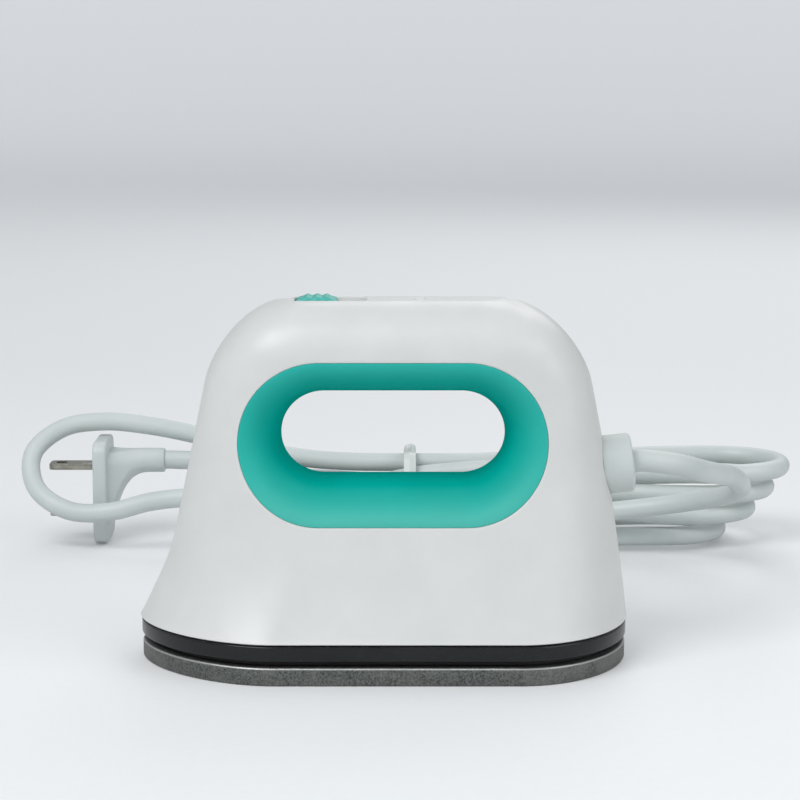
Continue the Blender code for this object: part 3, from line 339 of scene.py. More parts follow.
# Shared effects
def mould_grain_group():
    """The spark-eroded skin of a moulding: a fine grain, and slow waves in gloss and colour."""
    entries = {"Grain Scale": 3000.0, "Grain Depth": 0.5, "Wave Scale": 60.0,
               "Gloss Low": 0.3, "Gloss High": 0.4}
    group, given, exits = new_group("mould_grain", entries, ("Height", "Gloss", "Wave"))
    fine = noise(group, given["Grain Scale"], 2.0, 0.6)
    slow = noise(group, given["Wave Scale"], 4.0, 0.55)
    height = combine(group, scaled(group, fine, given["Grain Depth"]), scaled(group, slow, 0.4))
    feed(group, exits["Height"], height)
    feed(group, exits["Gloss"], spread(group, slow, 0.3, 0.7, given["Gloss Low"], given["Gloss High"]))
    feed(group, exits["Wave"], spread(group, slow, 0.35, 0.65))
    return group


def edge_wear_group():
    """Rubbed outer edges, broken up so that the wear isn't even."""
    group, given, exits = new_group("edge_wear", {"Amount": 0.5, "Break Scale": 500.0}, ("Mask",))
    shape = add_node(group, "ShaderNodeNewGeometry")
    edges = spread(group, shape.outputs["Pointiness"], 0.52, 0.60)
    broken = spread(group, noise(group, given["Break Scale"], 4.0, 0.6), 0.4, 0.65)
    worn = scaled(group, edges, broken, True)
    feed(group, exits["Mask"], scaled(group, worn, given["Amount"], True))
    return group


def settled_dust_group():
    """Fine specks and a thin film of dust on what faces up."""
    group, given, exits = new_group("settled_dust", {"Amount": 0.3, "Speck Scale": 900.0}, ("Mask",))
    shape = add_node(group, "ShaderNodeNewGeometry")
    upward = spread(group, one_axis(group, shape.outputs["Normal"], "Z"), 0.1, 0.9, 0.15, 1.0)
    specks = spread(group, noise(group, given["Speck Scale"], 3.0, 0.7), 0.62, 0.74)
    film = spread(group, noise(group, 90.0, 4.0, 0.6), 0.4, 0.7, 0.0, 0.25)
    dust = scaled(group, combine(group, specks, film, "MAXIMUM"), upward)
    feed(group, exits["Mask"], scaled(group, dust, given["Amount"], True))
    return group


def metal_grain_group():
    """The skin of a casting: coarse sand grain over a fine one."""
    entries = {"Coarse Scale": 1400.0, "Fine Scale": 5200.0}
    group, given, exits = new_group("metal_grain", entries, ("Height", "Tone"))
    coarse = noise(group, given["Coarse Scale"], 4.0, 0.65)
    fine = noise(group, given["Fine Scale"], 2.0, 0.6)
    feed(group, exits["Height"], combine(group, coarse, scaled(group, fine, 0.4)))
    feed(group, exits["Tone"], spread(group, coarse, 0.35, 0.65))
    return group


mould_grain = mould_grain_group()
edge_wear = edge_wear_group()
settled_dust = settled_dust_group()
metal_grain = metal_grain_group()


def use_group(tree, group, **values):
    """A shared effect in a material, with its own values; gives its outputs."""
    inputs = {name.replace("_", " ").title(): value for name, value in values.items()}
    return add_node(tree, "ShaderNodeGroup", inputs, node_tree=group).outputs


def new_material(name):
    material = bpy.data.materials.new(name)
    material.use_nodes = True
    tree = material.node_tree
    return material, tree, tree.nodes["Principled BSDF"].inputs


# Finishes, by the record's slots
finishes = {}


def new_finish(slot):
    finishes[slot], tree, shader = new_material(slot)
    return tree, shader


def set_finish(tree, shader, colour, rough, height, strength, distance):
    """Feed a finish its colour, its roughness and the height of its bump."""
    bump = add_node(tree, "ShaderNodeBump", {"Strength": strength, "Distance": distance, "Height": height})
    feed(tree, shader["Base Color"], colour)
    feed(tree, shader["Roughness"], rough)
    feed(tree, shader["Normal"], bump.outputs["Normal"])


def moulded(slot, colour, shade, worn, gloss, grain_depth, bump_depth, wear=0.5, dust=0.3,
            grain_scale=3000.0, specular=0.5):
    """A moulded plastic: its colour drifts a little to a shade, its edges rub and dust settles on it."""
    tree, shader = new_finish(slot)
    skin = use_group(tree, mould_grain, grain_scale=grain_scale, grain_depth=grain_depth,
                     wave_scale=70.0, gloss_low=gloss[0], gloss_high=gloss[1])
    rubbed = use_group(tree, edge_wear, amount=wear, break_scale=600.0)["Mask"]
    dusty = use_group(tree, settled_dust, amount=dust, speck_scale=1100.0)["Mask"]
    base = blend_colours(tree, skin["Wave"], colour, shade)
    base = blend_colours(tree, rubbed, base, worn)
    base = blend_colours(tree, dusty, base, (0.42, 0.41, 0.38))
    rough = combine(tree, skin["Gloss"], scaled(tree, dusty, 0.5))
    rough = combine(tree, rough, scaled(tree, rubbed, 0.12), clamp=True)
    shader["Specular IOR Level"].default_value = specular
    set_finish(tree, shader, base, rough, skin["Height"], 1.0, bump_depth)


def liner_finish():
    """Satin teal with a painted glow: paler near its rim, standing in for light let through the plastic where
    white is close behind.
    """
    tree, shader = new_finish("teal_liner")
    skin = use_group(tree, mould_grain, grain_scale=3000.0, grain_depth=0.5, wave_scale=70.0,
                     gloss_low=0.40, gloss_high=0.52)
    rubbed = use_group(tree, edge_wear, amount=0.5, break_scale=600.0)["Mask"]
    depth = combine(tree, one_axis(tree, place_on_piece(tree), "Y"), 0.0, "ABSOLUTE")
    # Painted glow: the teal turns paler towards the rim, standing in for light let through; the same mask
    # raises the specular level there
    painted_glow = combine(tree, spread(tree, depth, liner_deep_reach, liner_painted_glow_reach), 2.0, "POWER")
    base = blend_colours(tree, skin["Wave"], (0.001, 0.42, 0.365), (0.001, 0.39, 0.335))
    base = blend_colours(tree, painted_glow, base, (0.12, 0.50, 0.43))
    base = blend_colours(tree, rubbed, base, (0.20, 0.60, 0.53))
    feed(tree, shader["Specular IOR Level"], scaled(tree, painted_glow, liner_rim_specular))
    set_finish(tree, shader, base, skin["Gloss"], skin["Height"], 1.0, 0.000018)


def cast_plate_finish():
    """Blasted aluminium casting; a painted highlight makes its upper edge bright within the radius of that
    edge.
    """
    tree, shader = new_finish("cast_aluminium")
    grain = use_group(tree, metal_grain, coarse_scale=2600.0, fine_scale=7000.0)
    rubbed = use_group(tree, edge_wear, amount=0.8, break_scale=900.0)["Mask"]
    cloud = spread(tree, noise(tree, 160.0), 0.45, 0.75, 0.0, 0.6)
    height = one_axis(tree, place_on_piece(tree), "Z")
    # Painted highlight along the plate's upper edge; it also lowers the roughness a little there
    rise, fall = [spread(tree, height, plate_thickness - start * plate_edge_radius,
                         plate_thickness - end * plate_edge_radius)
                  for start, end in (plate_highlight_rise, plate_highlight_fall)]
    rim = combine(tree, rise, fall, "SUBTRACT", True)
    base = blend_colours(tree, grain["Tone"], (0.050, 0.056, 0.053), (0.20, 0.21, 0.20))
    base = blend_colours(tree, cloud, base, (0.24, 0.24, 0.22))
    # The lighter grey is both the painted edge highlight and real rubbed wear
    base = blend_colours(tree, combine(tree, rim, rubbed, "MAXIMUM"), base, (0.42, 0.43, 0.41))
    rough = spread(tree, grain["Tone"], 0.0, 1.0, 0.38, 0.60)
    rough = combine(tree, rough, scaled(tree, rim, 0.15), "SUBTRACT", True)
    shader["Metallic"].default_value = 0.7
    set_finish(tree, shader, base, rough, grain["Height"], 0.8, 0.00008)


def metal(slot, colour, tarnish, gloss, stretch=(1.0, 1.0, 1.0)):
    """Plated or drawn metal with fine draw lines and a light tarnish."""
    tree, shader = new_finish(slot)
    lines = noise(tree, 2500.0, 3.0, 0.6, stretch)
    cloud = spread(tree, noise(tree, 260.0, 5.0, 0.6), 0.4, 0.7)
    shader["Metallic"].default_value = 1.0
    set_finish(tree, shader, blend_colours(tree, cloud, colour, tarnish),
               spread(tree, lines, 0.3, 0.7, *gloss), lines, 0.5, 0.00002)


def mica_finish():
    """Flaky mica sheet."""
    tree, shader = new_finish("mica")
    flakes = add_node(tree, "ShaderNodeTexVoronoi", {"Vector": place_on_piece(tree), "Scale": 700.0})
    distance = flakes.outputs["Distance"]
    share = spread(tree, distance, 0.0, 0.7)
    rough = spread(tree, distance, 0.0, 0.7, 0.3, 0.6)
    base = blend_colours(tree, share, (0.60, 0.50, 0.34), (0.40, 0.31, 0.19))
    set_finish(tree, shader, base, rough, distance, 0.4, 0.00003)


def board_finish():
    """Glass-fibre board: the weave shows through the green lacquer."""
    tree, shader = new_finish("board_green")
    warp, weft = [add_node(tree, "ShaderNodeTexWave", {"Vector": place_on_piece(tree), "Scale": 600.0},
                           wave_type="BANDS", bands_direction=way).outputs["Fac"] for way in "XY"]
    weave = combine(tree, warp, weft, "MAXIMUM")
    base = blend_colours(tree, weave, (0.01, 0.13, 0.05), (0.03, 0.24, 0.10))
    set_finish(tree, shader, base, spread(tree, weave, 0.0, 1.0, 0.35, 0.5), weave, 0.3, 0.00002)


moulded("white_shell", (0.675, 0.68, 0.67), (0.64, 0.647, 0.638), (0.75, 0.75, 0.74), (0.30, 0.40), 0.35,
        0.000012, dust=0.15)
moulded("teal_knob", (0.05, 0.46, 0.39), (0.035, 0.41, 0.35), (0.22, 0.60, 0.54), (0.34, 0.46), 0.5,
        0.000018, wear=0.6, dust=0.2)
moulded("black_resin", (0.0050, 0.0065, 0.0075), (0.008, 0.010, 0.011), (0.05, 0.055, 0.06), (0.14, 0.24),
        0.3, 0.000012, dust=0.15, specular=0.35)
moulded("gasket_rubber", (0.012, 0.012, 0.012), (0.022, 0.022, 0.021), (0.05, 0.05, 0.05), (0.75, 0.9), 0.8,
        0.00003, wear=0.2, dust=0.4)
moulded("cord_white", (0.60, 0.645, 0.635), (0.55, 0.60, 0.59), (0.69, 0.72, 0.71), (0.36, 0.50), 0.6,
        0.00002, wear=0.1, dust=0.25, grain_scale=2200.0)
moulded("fuse_body", (0.70, 0.68, 0.60), (0.62, 0.60, 0.52), (0.78, 0.76, 0.70), (0.40, 0.55), 0.6,
        0.00002)
moulded("tie_white", (0.62, 0.66, 0.65), (0.55, 0.60, 0.59), (0.74, 0.76, 0.75), (0.35, 0.5), 0.5, 0.00002,
        wear=0.3, dust=0.2)
moulded("lens_clear", (0.75, 0.80, 0.78), (0.68, 0.74, 0.72), (0.85, 0.88, 0.87), (0.08, 0.16), 0.2, 0.000006,
        wear=0.2)
metal("zinc_steel", (0.60, 0.60, 0.57), (0.46, 0.46, 0.43), (0.25, 0.42))
metal("blade_brass", (0.46, 0.45, 0.40), (0.28, 0.25, 0.19), (0.22, 0.40), (0.1, 1.0, 1.0))
liner_finish()
cast_plate_finish()
mica_finish()
board_finish()


# Building helpers
def mapped_sheet(across, up, place, closed=True):
    """A grid whose every vertex is set on a surface by its shares across and up."""
    made = bmesh.new()
    bmesh.ops.create_grid(made, x_segments=across, y_segments=up, size=0.5)
    for vertex in made.verts:
        vertex.co = place(vertex.co.x + 0.5, vertex.co.y + 0.5)
    if closed:
        bmesh.ops.remove_doubles(made, verts=made.verts, dist=merge_reach)
    return made


def open_loops(made):
    return [edge for edge in made.edges if edge.is_boundary]


def closed_up(made):
    """The same form with its open ends filled and its faces turned outwards."""
    bmesh.ops.holes_fill(made, edges=open_loops(made), sides=0)
    bmesh.ops.recalc_face_normals(made, faces=made.faces)
    return made


def face_towards(made, point):
    """Turn an open sheet's faces towards a point inside it."""
    bmesh.ops.recalc_face_normals(made, faces=made.faces)
    lean = sum(face.normal.dot(face.calc_center_median() - Vector(point)) * face.calc_area()
               for face in made.faces)
    if lean > 0:
        bmesh.ops.reverse_faces(made, faces=made.faces)


def quarter_round(steps):
    """Sines and cosines at even steps over a quarter turn."""
    angles = [math.pi / 2 * step / steps for step in range(steps + 1)]
    return [(math.sin(angle), math.cos(angle)) for angle in angles]


def add_object(name, data):
    thing = bpy.data.objects.new(name, data)
    bpy.context.scene.collection.objects.link(thing)
    return thing


def mesh_object(name, made):
    mesh = bpy.data.meshes.new(name)
    made.to_mesh(mesh)
    made.free()
    return add_object(name, mesh)


def as_piece(name, made, slot_name, body="body", replaced=(), sharp=sharp_angle):
    """A finished mesh as a piece that rides on its body and stands for its CAD nodes."""
    piece = mesh_object(name, made)
    piece.data.shade_smooth()
    piece.data.set_sharp_from_angle(angle=math.radians(sharp))
    piece.data.materials.append(finishes[slot_name])
    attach(piece, body)
    if replaced:
        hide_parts(*replaced)
    return piece


def rounded_box(half_y, half_z, radius, turn):
    """A place on a rounded rectangle, going round once by quarters of a corner and the side after it."""
    sides = (2 * (half_y - radius), 2 * (half_z - radius))
    arc = math.pi / 2 * radius
    place = (turn % 1.0) * (4 * arc + 2 * sum(sides))
    quarter = 0
    while quarter < 3 and place > arc + sides[quarter % 2]:
        place -= arc + sides[quarter % 2]
        quarter += 1
    angle = math.pi / 2 * (quarter + min(place / arc, 1.0))
    centre_y = (half_y - radius) * (1 if quarter in (0, 3) else -1)
    centre_z = (half_z - radius) * (1 if quarter < 2 else -1)
    run = max(place - arc, 0.0)
    way_y, way_z = ((-1, 0), (0, -1), (1, 0), (0, 1))[quarter]
    return (centre_y + radius * math.cos(angle) + run * way_y,
            centre_z + radius * math.sin(angle) + run * way_z)


def cut_from(pieces, tools):
    """Cut the tools out of each piece for good, and take the tools away."""
    for piece in pieces:
        for tool in tools:
            modifier = piece.modifiers.new(tool.name, "BOOLEAN")
            modifier.operation = "DIFFERENCE"
            modifier.object = tool
            modifier.solver = "EXACT"
        bpy.context.view_layer.update()
        evaluated = piece.evaluated_get(bpy.context.evaluated_depsgraph_get())
        mesh = bpy.data.meshes.new_from_object(evaluated)
        piece.modifiers.clear()
        mesh.set_sharp_from_angle(angle=math.radians(sharp_angle))
        piece.data = mesh
    for tool in tools:
        bpy.data.objects.remove(tool, do_unlink=True)


# The body's surface
def eased(share):
    return share * share * (3 - 2 * share)


def between(first, last, share):
    return first + (last - first) * share


def body_section(height):
    """Nose, tail, half width, end roundings and powers of the body at a height."""
    above = (height - body_low) / (shoulder_height - body_low)
    rise = min(max(above, 0.0), 1.0)
    flare_rise = flare_rise_share * (body_height - body_low)
    flare_height = body_low + flare_rise
    lean = (base_half_length - flare_reach) / flare_rise
    flare = base_half_length - lean * (height - body_low)
    side_lean = (flare_reach - nose_shoulder_reach) / (shoulder_height - flare_height)
    side = flare_reach - side_lean * (height - flare_height)
    nose = (flare + side + math.hypot(flare - side, flare_softness)) / 2
    tail = between(base_half_length, tail_shoulder_reach, above) + tail_bow * 4 * above * (1 - above)
    width = between(base_half_width, shoulder_half_width, min(above, 1.0))
    width -= flank_bow * 4 * rise * (1 - rise)
    nose_round = between(base_nose_round, shoulder_nose_round, eased(rise))
    tail_round = between(base_tail_round, shoulder_tail_round, eased(rise))
    nose_power = between(base_nose_power, shoulder_power, eased(rise))
    tail_power = between(base_tail_power, shoulder_power, eased(rise))
    if height > shoulder_height:
        climb = min((height - shoulder_height) / shoulder_drop, 1.0)
        fall = math.sqrt(1 - climb * climb)
        nose, tail = between(flat_nose_reach, nose, fall), between(flat_tail_reach, tail, fall)
        nose_round = between(top_nose_round, nose_round, fall)
        tail_round = between(top_tail_round, tail_round, fall)
    if height > crown_start:
        climb = min((height - crown_start) / crown_drop, 1.0)
        width = between(flat_half_width, width, math.sqrt(1 - climb * climb))
    return -nose, tail, width, nose_round, tail_round, nose_power, tail_power


def base_section(inset):
    return (-base_half_length + inset, base_half_length - inset, base_half_width - inset,
            base_nose_round - inset, base_tail_round - inset, base_nose_power, base_tail_power)


nose_quarter_share = 0.33
tail_quarter_share = 0.31


def outline_side(section, share):
    """A place on one side of a plan outline, from the nose tip at 0 to the tail tip at 1."""
    nose, tail, width, nose_round, tail_round, nose_power, tail_power = section
    if share < nose_quarter_share:
        angle = math.pi / 2 * share / nose_quarter_share
        return (nose + nose_round - nose_round * math.cos(angle) ** (2 / nose_power),
                width * math.sin(angle) ** (2 / nose_power))
    if share > 1 - tail_quarter_share:
        angle = math.pi / 2 * max(1 - share, 0.0) / tail_quarter_share
        return (tail - tail_round + tail_round * math.cos(angle) ** (2 / tail_power),
                width * math.sin(angle) ** (2 / tail_power))
    along = (share - nose_quarter_share) / (1 - nose_quarter_share - tail_quarter_share)
    return nose + nose_round + (tail - tail_round - nose - nose_round) * along, width


def outline_share(section, x):
    """The share along one side of a plan outline at which it passes a place in X."""
    nose, tail, _, nose_round, tail_round, nose_power, tail_power = section
    if x < nose + nose_round:
        cosine = min((nose + nose_round - x) / nose_round, 1.0) ** (nose_power / 2)
        return nose_quarter_share * math.acos(cosine) / (math.pi / 2)
    if x > tail - tail_round:
        cosine = min((x - tail + tail_round) / tail_round, 1.0) ** (tail_power / 2)
        return 1 - tail_quarter_share * math.acos(cosine) / (math.pi / 2)
    along = (x - nose - nose_round) / (tail - tail_round - nose - nose_round)
    return nose_quarter_share + (1 - nose_quarter_share - tail_quarter_share) * along


def body_half_width(x, height):
    """How far the body's face stands from the middle plane at a place on it."""
    section = body_section(height)
    return outline_side(section, outline_share(section, x))[1]


shoulder_share = 0.72
crown_share = 0.94


def level_of(rise):
    """The height that a share up the shell stands for; the flat top's strip comes after the crown."""
    if rise < shoulder_share:
        return body_low + (shoulder_height - body_low) * rise / shoulder_share
    climb = min((rise - shoulder_share) / (crown_share - shoulder_share), 1.0)
    return shoulder_height + shoulder_drop * math.sin(math.pi / 2 * climb)


def rise_of(height):
    if height < shoulder_height:
        return shoulder_share * (height - body_low) / (shoulder_height - body_low)
    climb = math.asin(min((height - shoulder_height) / shoulder_drop, 1.0)) / (math.pi / 2)
    return between(shoulder_share, crown_share, climb)


def shell_place(share, rise, facing):
    """A place on the outer face of one half of the body."""
    height = level_of(rise)
    x, y = outline_side(body_section(height), share)
    if rise > crown_share:
        y *= 1 - (rise - crown_share) / (1 - crown_share)
    return Vector((x, facing * max(y, seat_gap / 2), height))


# Finger opening
def stadium_reach(half_length, half_height, direction_x, direction_z):
    """Where a ray from the opening's middle meets a stadium outline."""
    half_straight = half_length - half_height
    if abs(direction_z) > 0 and abs(direction_x / direction_z) * half_height <= half_straight:
        reach = half_height / abs(direction_z)
    else:
        toward = abs(direction_x) * half_straight
        reach = toward + math.sqrt(max(toward ** 2 - half_straight ** 2 + half_height ** 2, 0.0))
    return opening_middle_x + direction_x * reach, opening_middle_z + direction_z * reach


def shell_edge(turn):
    """The share and rise of a place on the outer edge of one half, going round from the nose's foot."""
    total = sum(shell_side_counts)
    place = (turn % 1.0) * total
    foot, tail, top, nose = shell_side_counts
    if place <= foot:
        return place / foot, 0.0
    if place <= foot + tail:
        return 1.0, crown_share * (place - foot) / tail
    if place < foot + tail + top:
        across = (place - foot - tail) / top
        seam_x = between(flat_tail_reach, -flat_nose_reach, across)
        return outline_share(body_section(body_height), seam_x), 1.0
    return 0.0, crown_share * (1 - (place - foot - tail - top) / nose)


seam_reach = seam_gap / 2 + shell_lip
inner_length_share = 1 - body_wall / base_half_length
inner_width_share = 1 - body_wall / shoulder_half_width
inner_height_share = 1 - body_wall / (body_height - body_low)


def window_place(turn, grow, facing):
    """The place in X and Z at which the edge of the finger opening, grown by a distance, passes."""
    share, rise = shell_edge(turn)
    edge = shell_place(share, rise, facing)
    way = Vector((edge.x - opening_middle_x, edge.z - opening_middle_z)).normalized()
    grown = window_gap + grow
    return stadium_reach(rim_half_length + grown, rim_half_height + grown, way.x, way.y)


def face_place(turn, out, facing):
    """A place on the outer face, from the finger opening's lip out to the lip of the seam or the foot."""
    share, rise = shell_edge(turn)
    x, z = window_place(turn, shell_lip, facing)
    near_share, near_rise = outline_share(body_section(z), x), rise_of(z)
    place = shell_place(between(near_share, share, out), between(near_rise, rise, out), facing)
    height = body_low + math.hypot(place.z - body_low, shell_lip)
    return Vector((place.x, facing * math.hypot(place.y, seam_reach), height))


def window_lip(turn, angle, facing):
    """The rounded edge of the finger opening, from its wall at 0 to the face at a quarter turn."""
    x, z = window_place(turn, shell_lip * (1 - math.cos(angle)), facing)
    return Vector((x, facing * (body_half_width(x, z) - shell_lip * (1 - math.sin(angle))), z))


def outer_lip(turn, angle, facing):
    """The rounded edge along the seam and the foot, from the face at a quarter turn to the rim at 0."""
    place = (turn % 1.0) * sum(shell_side_counts)
    foot = shell_side_counts[0]
    step = 0.5 / sum(shell_side_counts)
    edge = face_place(turn, 1.0, facing)
    along = face_place(turn + step, 1.0, facing) - face_place(turn - step, 1.0, facing)
    if place in (0, foot):
        reach = Vector((0.0, -facing, -1.0)) / math.sqrt(2)
        normal = Vector((math.copysign(1.0, edge.x), 0.0, 0.0))
    elif place < foot:
        reach = Vector((0.0, 0.0, -1.0))
        normal = Vector((along.y, -along.x, 0.0)).normalized()
        normal *= math.copysign(1.0, normal.dot(Vector((edge.x, edge.y, 0.0))))
    else:
        reach = Vector((0.0, -facing, 0.0))
        normal = Vector((along.z, 0.0, -along.x)).normalized()
        normal *= math.copysign(1.0, normal.dot(edge - Vector((opening_middle_x, 0.0, opening_middle_z))))
    return edge + shell_lip * (reach * math.cos(angle) - normal * (1 - math.sin(angle)))


def inner_place(turn, out, facing):
    """A place on the inner face, drawn in from the outer one by the wall."""
    place = face_place(turn, out, facing)
    return Vector((place.x * between(1, inner_length_share, out),
                   facing * (seam_gap / 2 + (abs(place.y) - seam_reach) * inner_width_share),
                   body_low + (place.z - body_low - shell_lip) * between(1, inner_height_share, out)))


def shell_half(name, facing, node):
    """One half of the clamshell: its wall followed round, from the finger opening's lip and back."""
    quarter = math.pi / 2
    rows = [(window_lip, quarter * step / lip_steps) for step in range(lip_steps)]
    rows += [(face_place, step / shell_ring_steps) for step in range(shell_ring_steps + 1)]
    rows += [(outer_lip, quarter * (1 - step / lip_steps)) for step in range(1, lip_steps + 1)]
    rows += [(inner_place, 1 - step / skin_steps) for step in range(skin_steps + 1)]

    def place(turn, along):
        follow, where = rows[round(along * len(rows)) % len(rows)]
        return follow(turn, where, facing)

    made = closed_up(mapped_sheet(sum(shell_side_counts), len(rows), place))
    return as_piece(name, made, "white_shell", replaced=[node])


shells = [shell_half("front_moulding", -1, "shell_front"), shell_half("rear_moulding", 1, "shell_rear")]


def liner_half(name, facing, node):
    """A flared collar from the throat at the middle plane out to the body's face."""
    rim_straight = rim_half_length - rim_half_height
    throat_straight = throat_half_length - throat_half_height

    def place(turn, out):
        angle = 2 * math.pi * turn
        way = Vector((rim_half_length * math.cos(angle), rim_half_height * math.sin(angle))).normalized()
        rim_x, rim_z = stadium_reach(rim_half_length, rim_half_height, way.x, way.y)
        core = min(max(rim_x - opening_middle_x, -rim_straight), rim_straight)
        core_x = opening_middle_x + core
        outward = Vector((rim_x - core_x, rim_z - opening_middle_z)) / rim_half_height
        throat_core_x = opening_middle_x + (core_x - opening_middle_x) * throat_straight / rim_straight
        throat_x = throat_core_x + outward.x * throat_half_height
        throat_z = opening_middle_z + outward.y * throat_half_height
        flare = math.pi / 2 * out
        widened = 1 - math.cos(flare)
        depth = between(throat_gap, body_half_width(rim_x, rim_z), math.sin(flare))
        return Vector((between(throat_x, rim_x, widened), facing * depth, between(throat_z, rim_z, widened)))

    made = mapped_sheet(liner_turn_steps, liner_depth_steps, place)
    face_towards(made, (opening_middle_x, 0.0, opening_middle_z))
    liner = as_piece(name, made, "teal_liner", replaced=[node])
    wall = liner.modifiers.new("wall", "SOLIDIFY")
    wall.thickness = liner_wall
    wall.offset = -1.0
    edge = liner.modifiers.new("edge", "BEVEL")
    edge.width = liner_edge_radius
    edge.segments = edge_segments
    edge.limit_method = "ANGLE"
    edge.angle_limit = math.radians(edge_angle)
    edge.use_clamp_overlap = False
    return liner


liner_half("front_liner", -1, "handle_liner_front")
liner_half("rear_liner", 1, "handle_liner_rear")


# Plate, gasket and skirt: the base outline drawn through a profile of insets and heights
def rounded_edge(inset, height, radius, start):
    """A quarter round in a profile; its start angle is from the outward way, anticlockwise."""
    points = []
    for step in range(corner_steps + 1):
        angle = math.radians(start + 90.0 * step / corner_steps)
        points.append((inset - radius * math.cos(angle), height + radius * math.sin(angle)))
    return points


def rounded_side(inset, low, high, radius):
    """The outer side of a profile, with its lower and upper edges rounded."""
    return (rounded_edge(inset + radius, low + radius, radius, -90.0)
            + rounded_edge(inset + radius, high - radius, radius, 0.0))


def base_ring(name, profile, slot_name, node, closed_profile=True):
    """The base outline drawn through a profile, closed on itself or capped at both ends."""
    rows = profile + profile[:1] if closed_profile else profile

    def place(turn, along):
        inset, height = rows[round(along * (len(rows) - 1))]
        side = 1 if turn > 0.5 else -1
        share = 2 * turn if turn <= 0.5 else 2 - 2 * turn
        x, y = outline_side(base_section(inset), share)
        return Vector((x, side * y, height))

    made = closed_up(mapped_sheet(4 * side_steps, len(rows) - 1, place))
    return as_piece(name, made, slot_name, replaced=[node])


plate_profile = rounded_side(plate_inset, 0.0, plate_thickness, plate_edge_radius)
base_ring("plate_casting", plate_profile, "cast_aluminium", "heating_plate", closed_profile=False)
gasket_low = plate_thickness + seat_gap
gasket_top = skirt_low - seat_gap
gasket_inner = recess_inset + skirt_wall
gasket_profile = [(recess_inset, gasket_low), (recess_inset, gasket_top), (gasket_inner, gasket_top),
                  (gasket_inner, gasket_low)]
base_ring("recess_gasket", gasket_profile, "gasket_rubber", "heat_gasket")
tongue_top = body_low + tongue_height
tongue_inner = tongue_inset + tongue_wall
skirt_profile = rounded_side(skirt_inset, skirt_low, skirt_top, skirt_edge_radius) \
    + [(skirt_wall, skirt_top), (skirt_wall, skirt_floor_top), (tongue_inset, skirt_floor_top),
       (tongue_inset, tongue_top), (tongue_inner, tongue_top), (tongue_inner, skirt_low)]
base_ring("skirt_moulding", skirt_profile, "black_resin", "base_skirt")


# Thumb slide
knob_low = body_height - recess_depth + seat_gap
knob_top = body_height + knob_crest - knob_rib_height
knob_foot = knob_low + recess_depth / 2


def knob_place(along, across):
    """The ribbed, domed top of the thumb slide."""
    u, v = 2 * along - 1, 2 * across - 1
    edge_fall = 1.0
    for reach in (u, v):
        past_corner = max((abs(reach) - 1 + knob_corner_share) / knob_corner_share, 0.0)
        edge_fall *= math.sqrt(max(1 - past_corner ** 2, 0.0))
    dome = (knob_top - knob_foot) * (1 - knob_end_fall * u ** knob_end_power)
    rib = 0.0
    if abs(u) < knob_ribbed_share:
        wave = math.pi * (knob_rib_count * u / knob_ribbed_share + knob_rib_count - 1)
        rib = knob_rib_height * (0.5 + 0.5 * math.cos(wave))
    return Vector((slide_x + u * knob_length / 2, v * knob_half_width, knob_foot + (dome + rib) * edge_fall))


made = mapped_sheet(*knob_steps, knob_place, closed=False)
rim = bmesh.ops.extrude_edge_only(made, edges=open_loops(made))
for item in rim["geom"]:
    if isinstance(item, bmesh.types.BMVert):
        item.co.z = knob_low
as_piece("slide_knob", closed_up(made), "teal_knob", body="slide", replaced=["switch_knob"], sharp=edge_angle)


# Turned pieces
upright = Vector((0.0, 0.0, 1.0))


def turned(profile, start, direction, steps=spin_steps):
    """A profile of radii and heights spun about an axis."""
    made = bmesh.new()
    points = [made.verts.new((radius, 0.0, height)) for radius, height in profile]
    for first, second in zip(points, points[1:]):
        made.edges.new((first, second))
    bmesh.ops.spin(made, geom=made.verts[:] + made.edges[:], cent=(0.0, 0.0, 0.0), axis=(0.0, 0.0, 1.0),
                   angle=2 * math.pi, steps=steps, use_merge=True)
    bmesh.ops.remove_doubles(made, verts=made.verts, dist=merge_reach)
    bmesh.ops.recalc_face_normals(made, faces=made.faces)
    turn = upright.rotation_difference(Vector(direction)).to_matrix().to_4x4()
    bmesh.ops.transform(made, matrix=Matrix.Translation(start) @ turn, verts=made.verts)
    return made


gland_axis = Vector((math.cos(gland_tilt), 0.0, math.sin(gland_tilt)))
gland_seat = Vector((body_section(gland_height)[1], 0.0, gland_height))
gland_profile = [(0.0, collar_length - collar_edge / 2), (cord_radius, collar_length - collar_edge / 2),
                 (cord_radius + collar_edge / 2, collar_length), (collar_radius - collar_edge, collar_length)]
gland_profile += [(collar_radius - collar_edge + collar_edge * sine,
                   collar_length - collar_edge + collar_edge * cosine)
                  for sine, cosine in quarter_round(collar_edge_steps)[1:]]
gland_profile += [(collar_radius, -collar_sink), (neck_radius, -collar_sink),
                  (neck_radius, -3 * collar_sink), (0.0, -3 * collar_sink)]
as_piece("strain_relief", turned(gland_profile, gland_seat, gland_axis), "cord_white",
         replaced=["cord_gland"])

lens_profile = [(0.0, lens_radius / 8), (lens_radius / 2, lens_radius / 10), (lens_radius * 0.8, 0.0),
                (lens_radius, -lens_radius / 5), (lens_radius, -body_wall), (0.0, -body_wall)]
lens_seat = (lens_x, 0.0, body_height - lens_radius / 8)
as_piece("light_lens", turned(lens_profile, lens_seat, upright, small_spin_steps), "lens_clear",
         replaced=["indicator_lens"])


# Cuts in the shells: the slide's recess, the lens's hole and the strain relief's seat
def recess_form():
    """A rounded pocket whose mouth flares a little."""
    half_length = (knob_length + slide_travel) / 2 + recess_margin
    half_width = knob_half_width + recess_margin
    corner = half_width / recess_corner_part
    rows = [(0.0, -recess_depth), (0.0, -shell_lip), (shell_lip, shell_lip / 8), (shell_lip, recess_depth)]

    def place(turn, along):
        grow, height = rows[round(along * (len(rows) - 1))]
        x, y = rounded_box(half_length + grow, half_width + grow, corner + grow, turn)
        return Vector((slide_x + slide_travel / 2 + x, y, body_height + height))

    return closed_up(mapped_sheet(side_steps, len(rows) - 1, place))


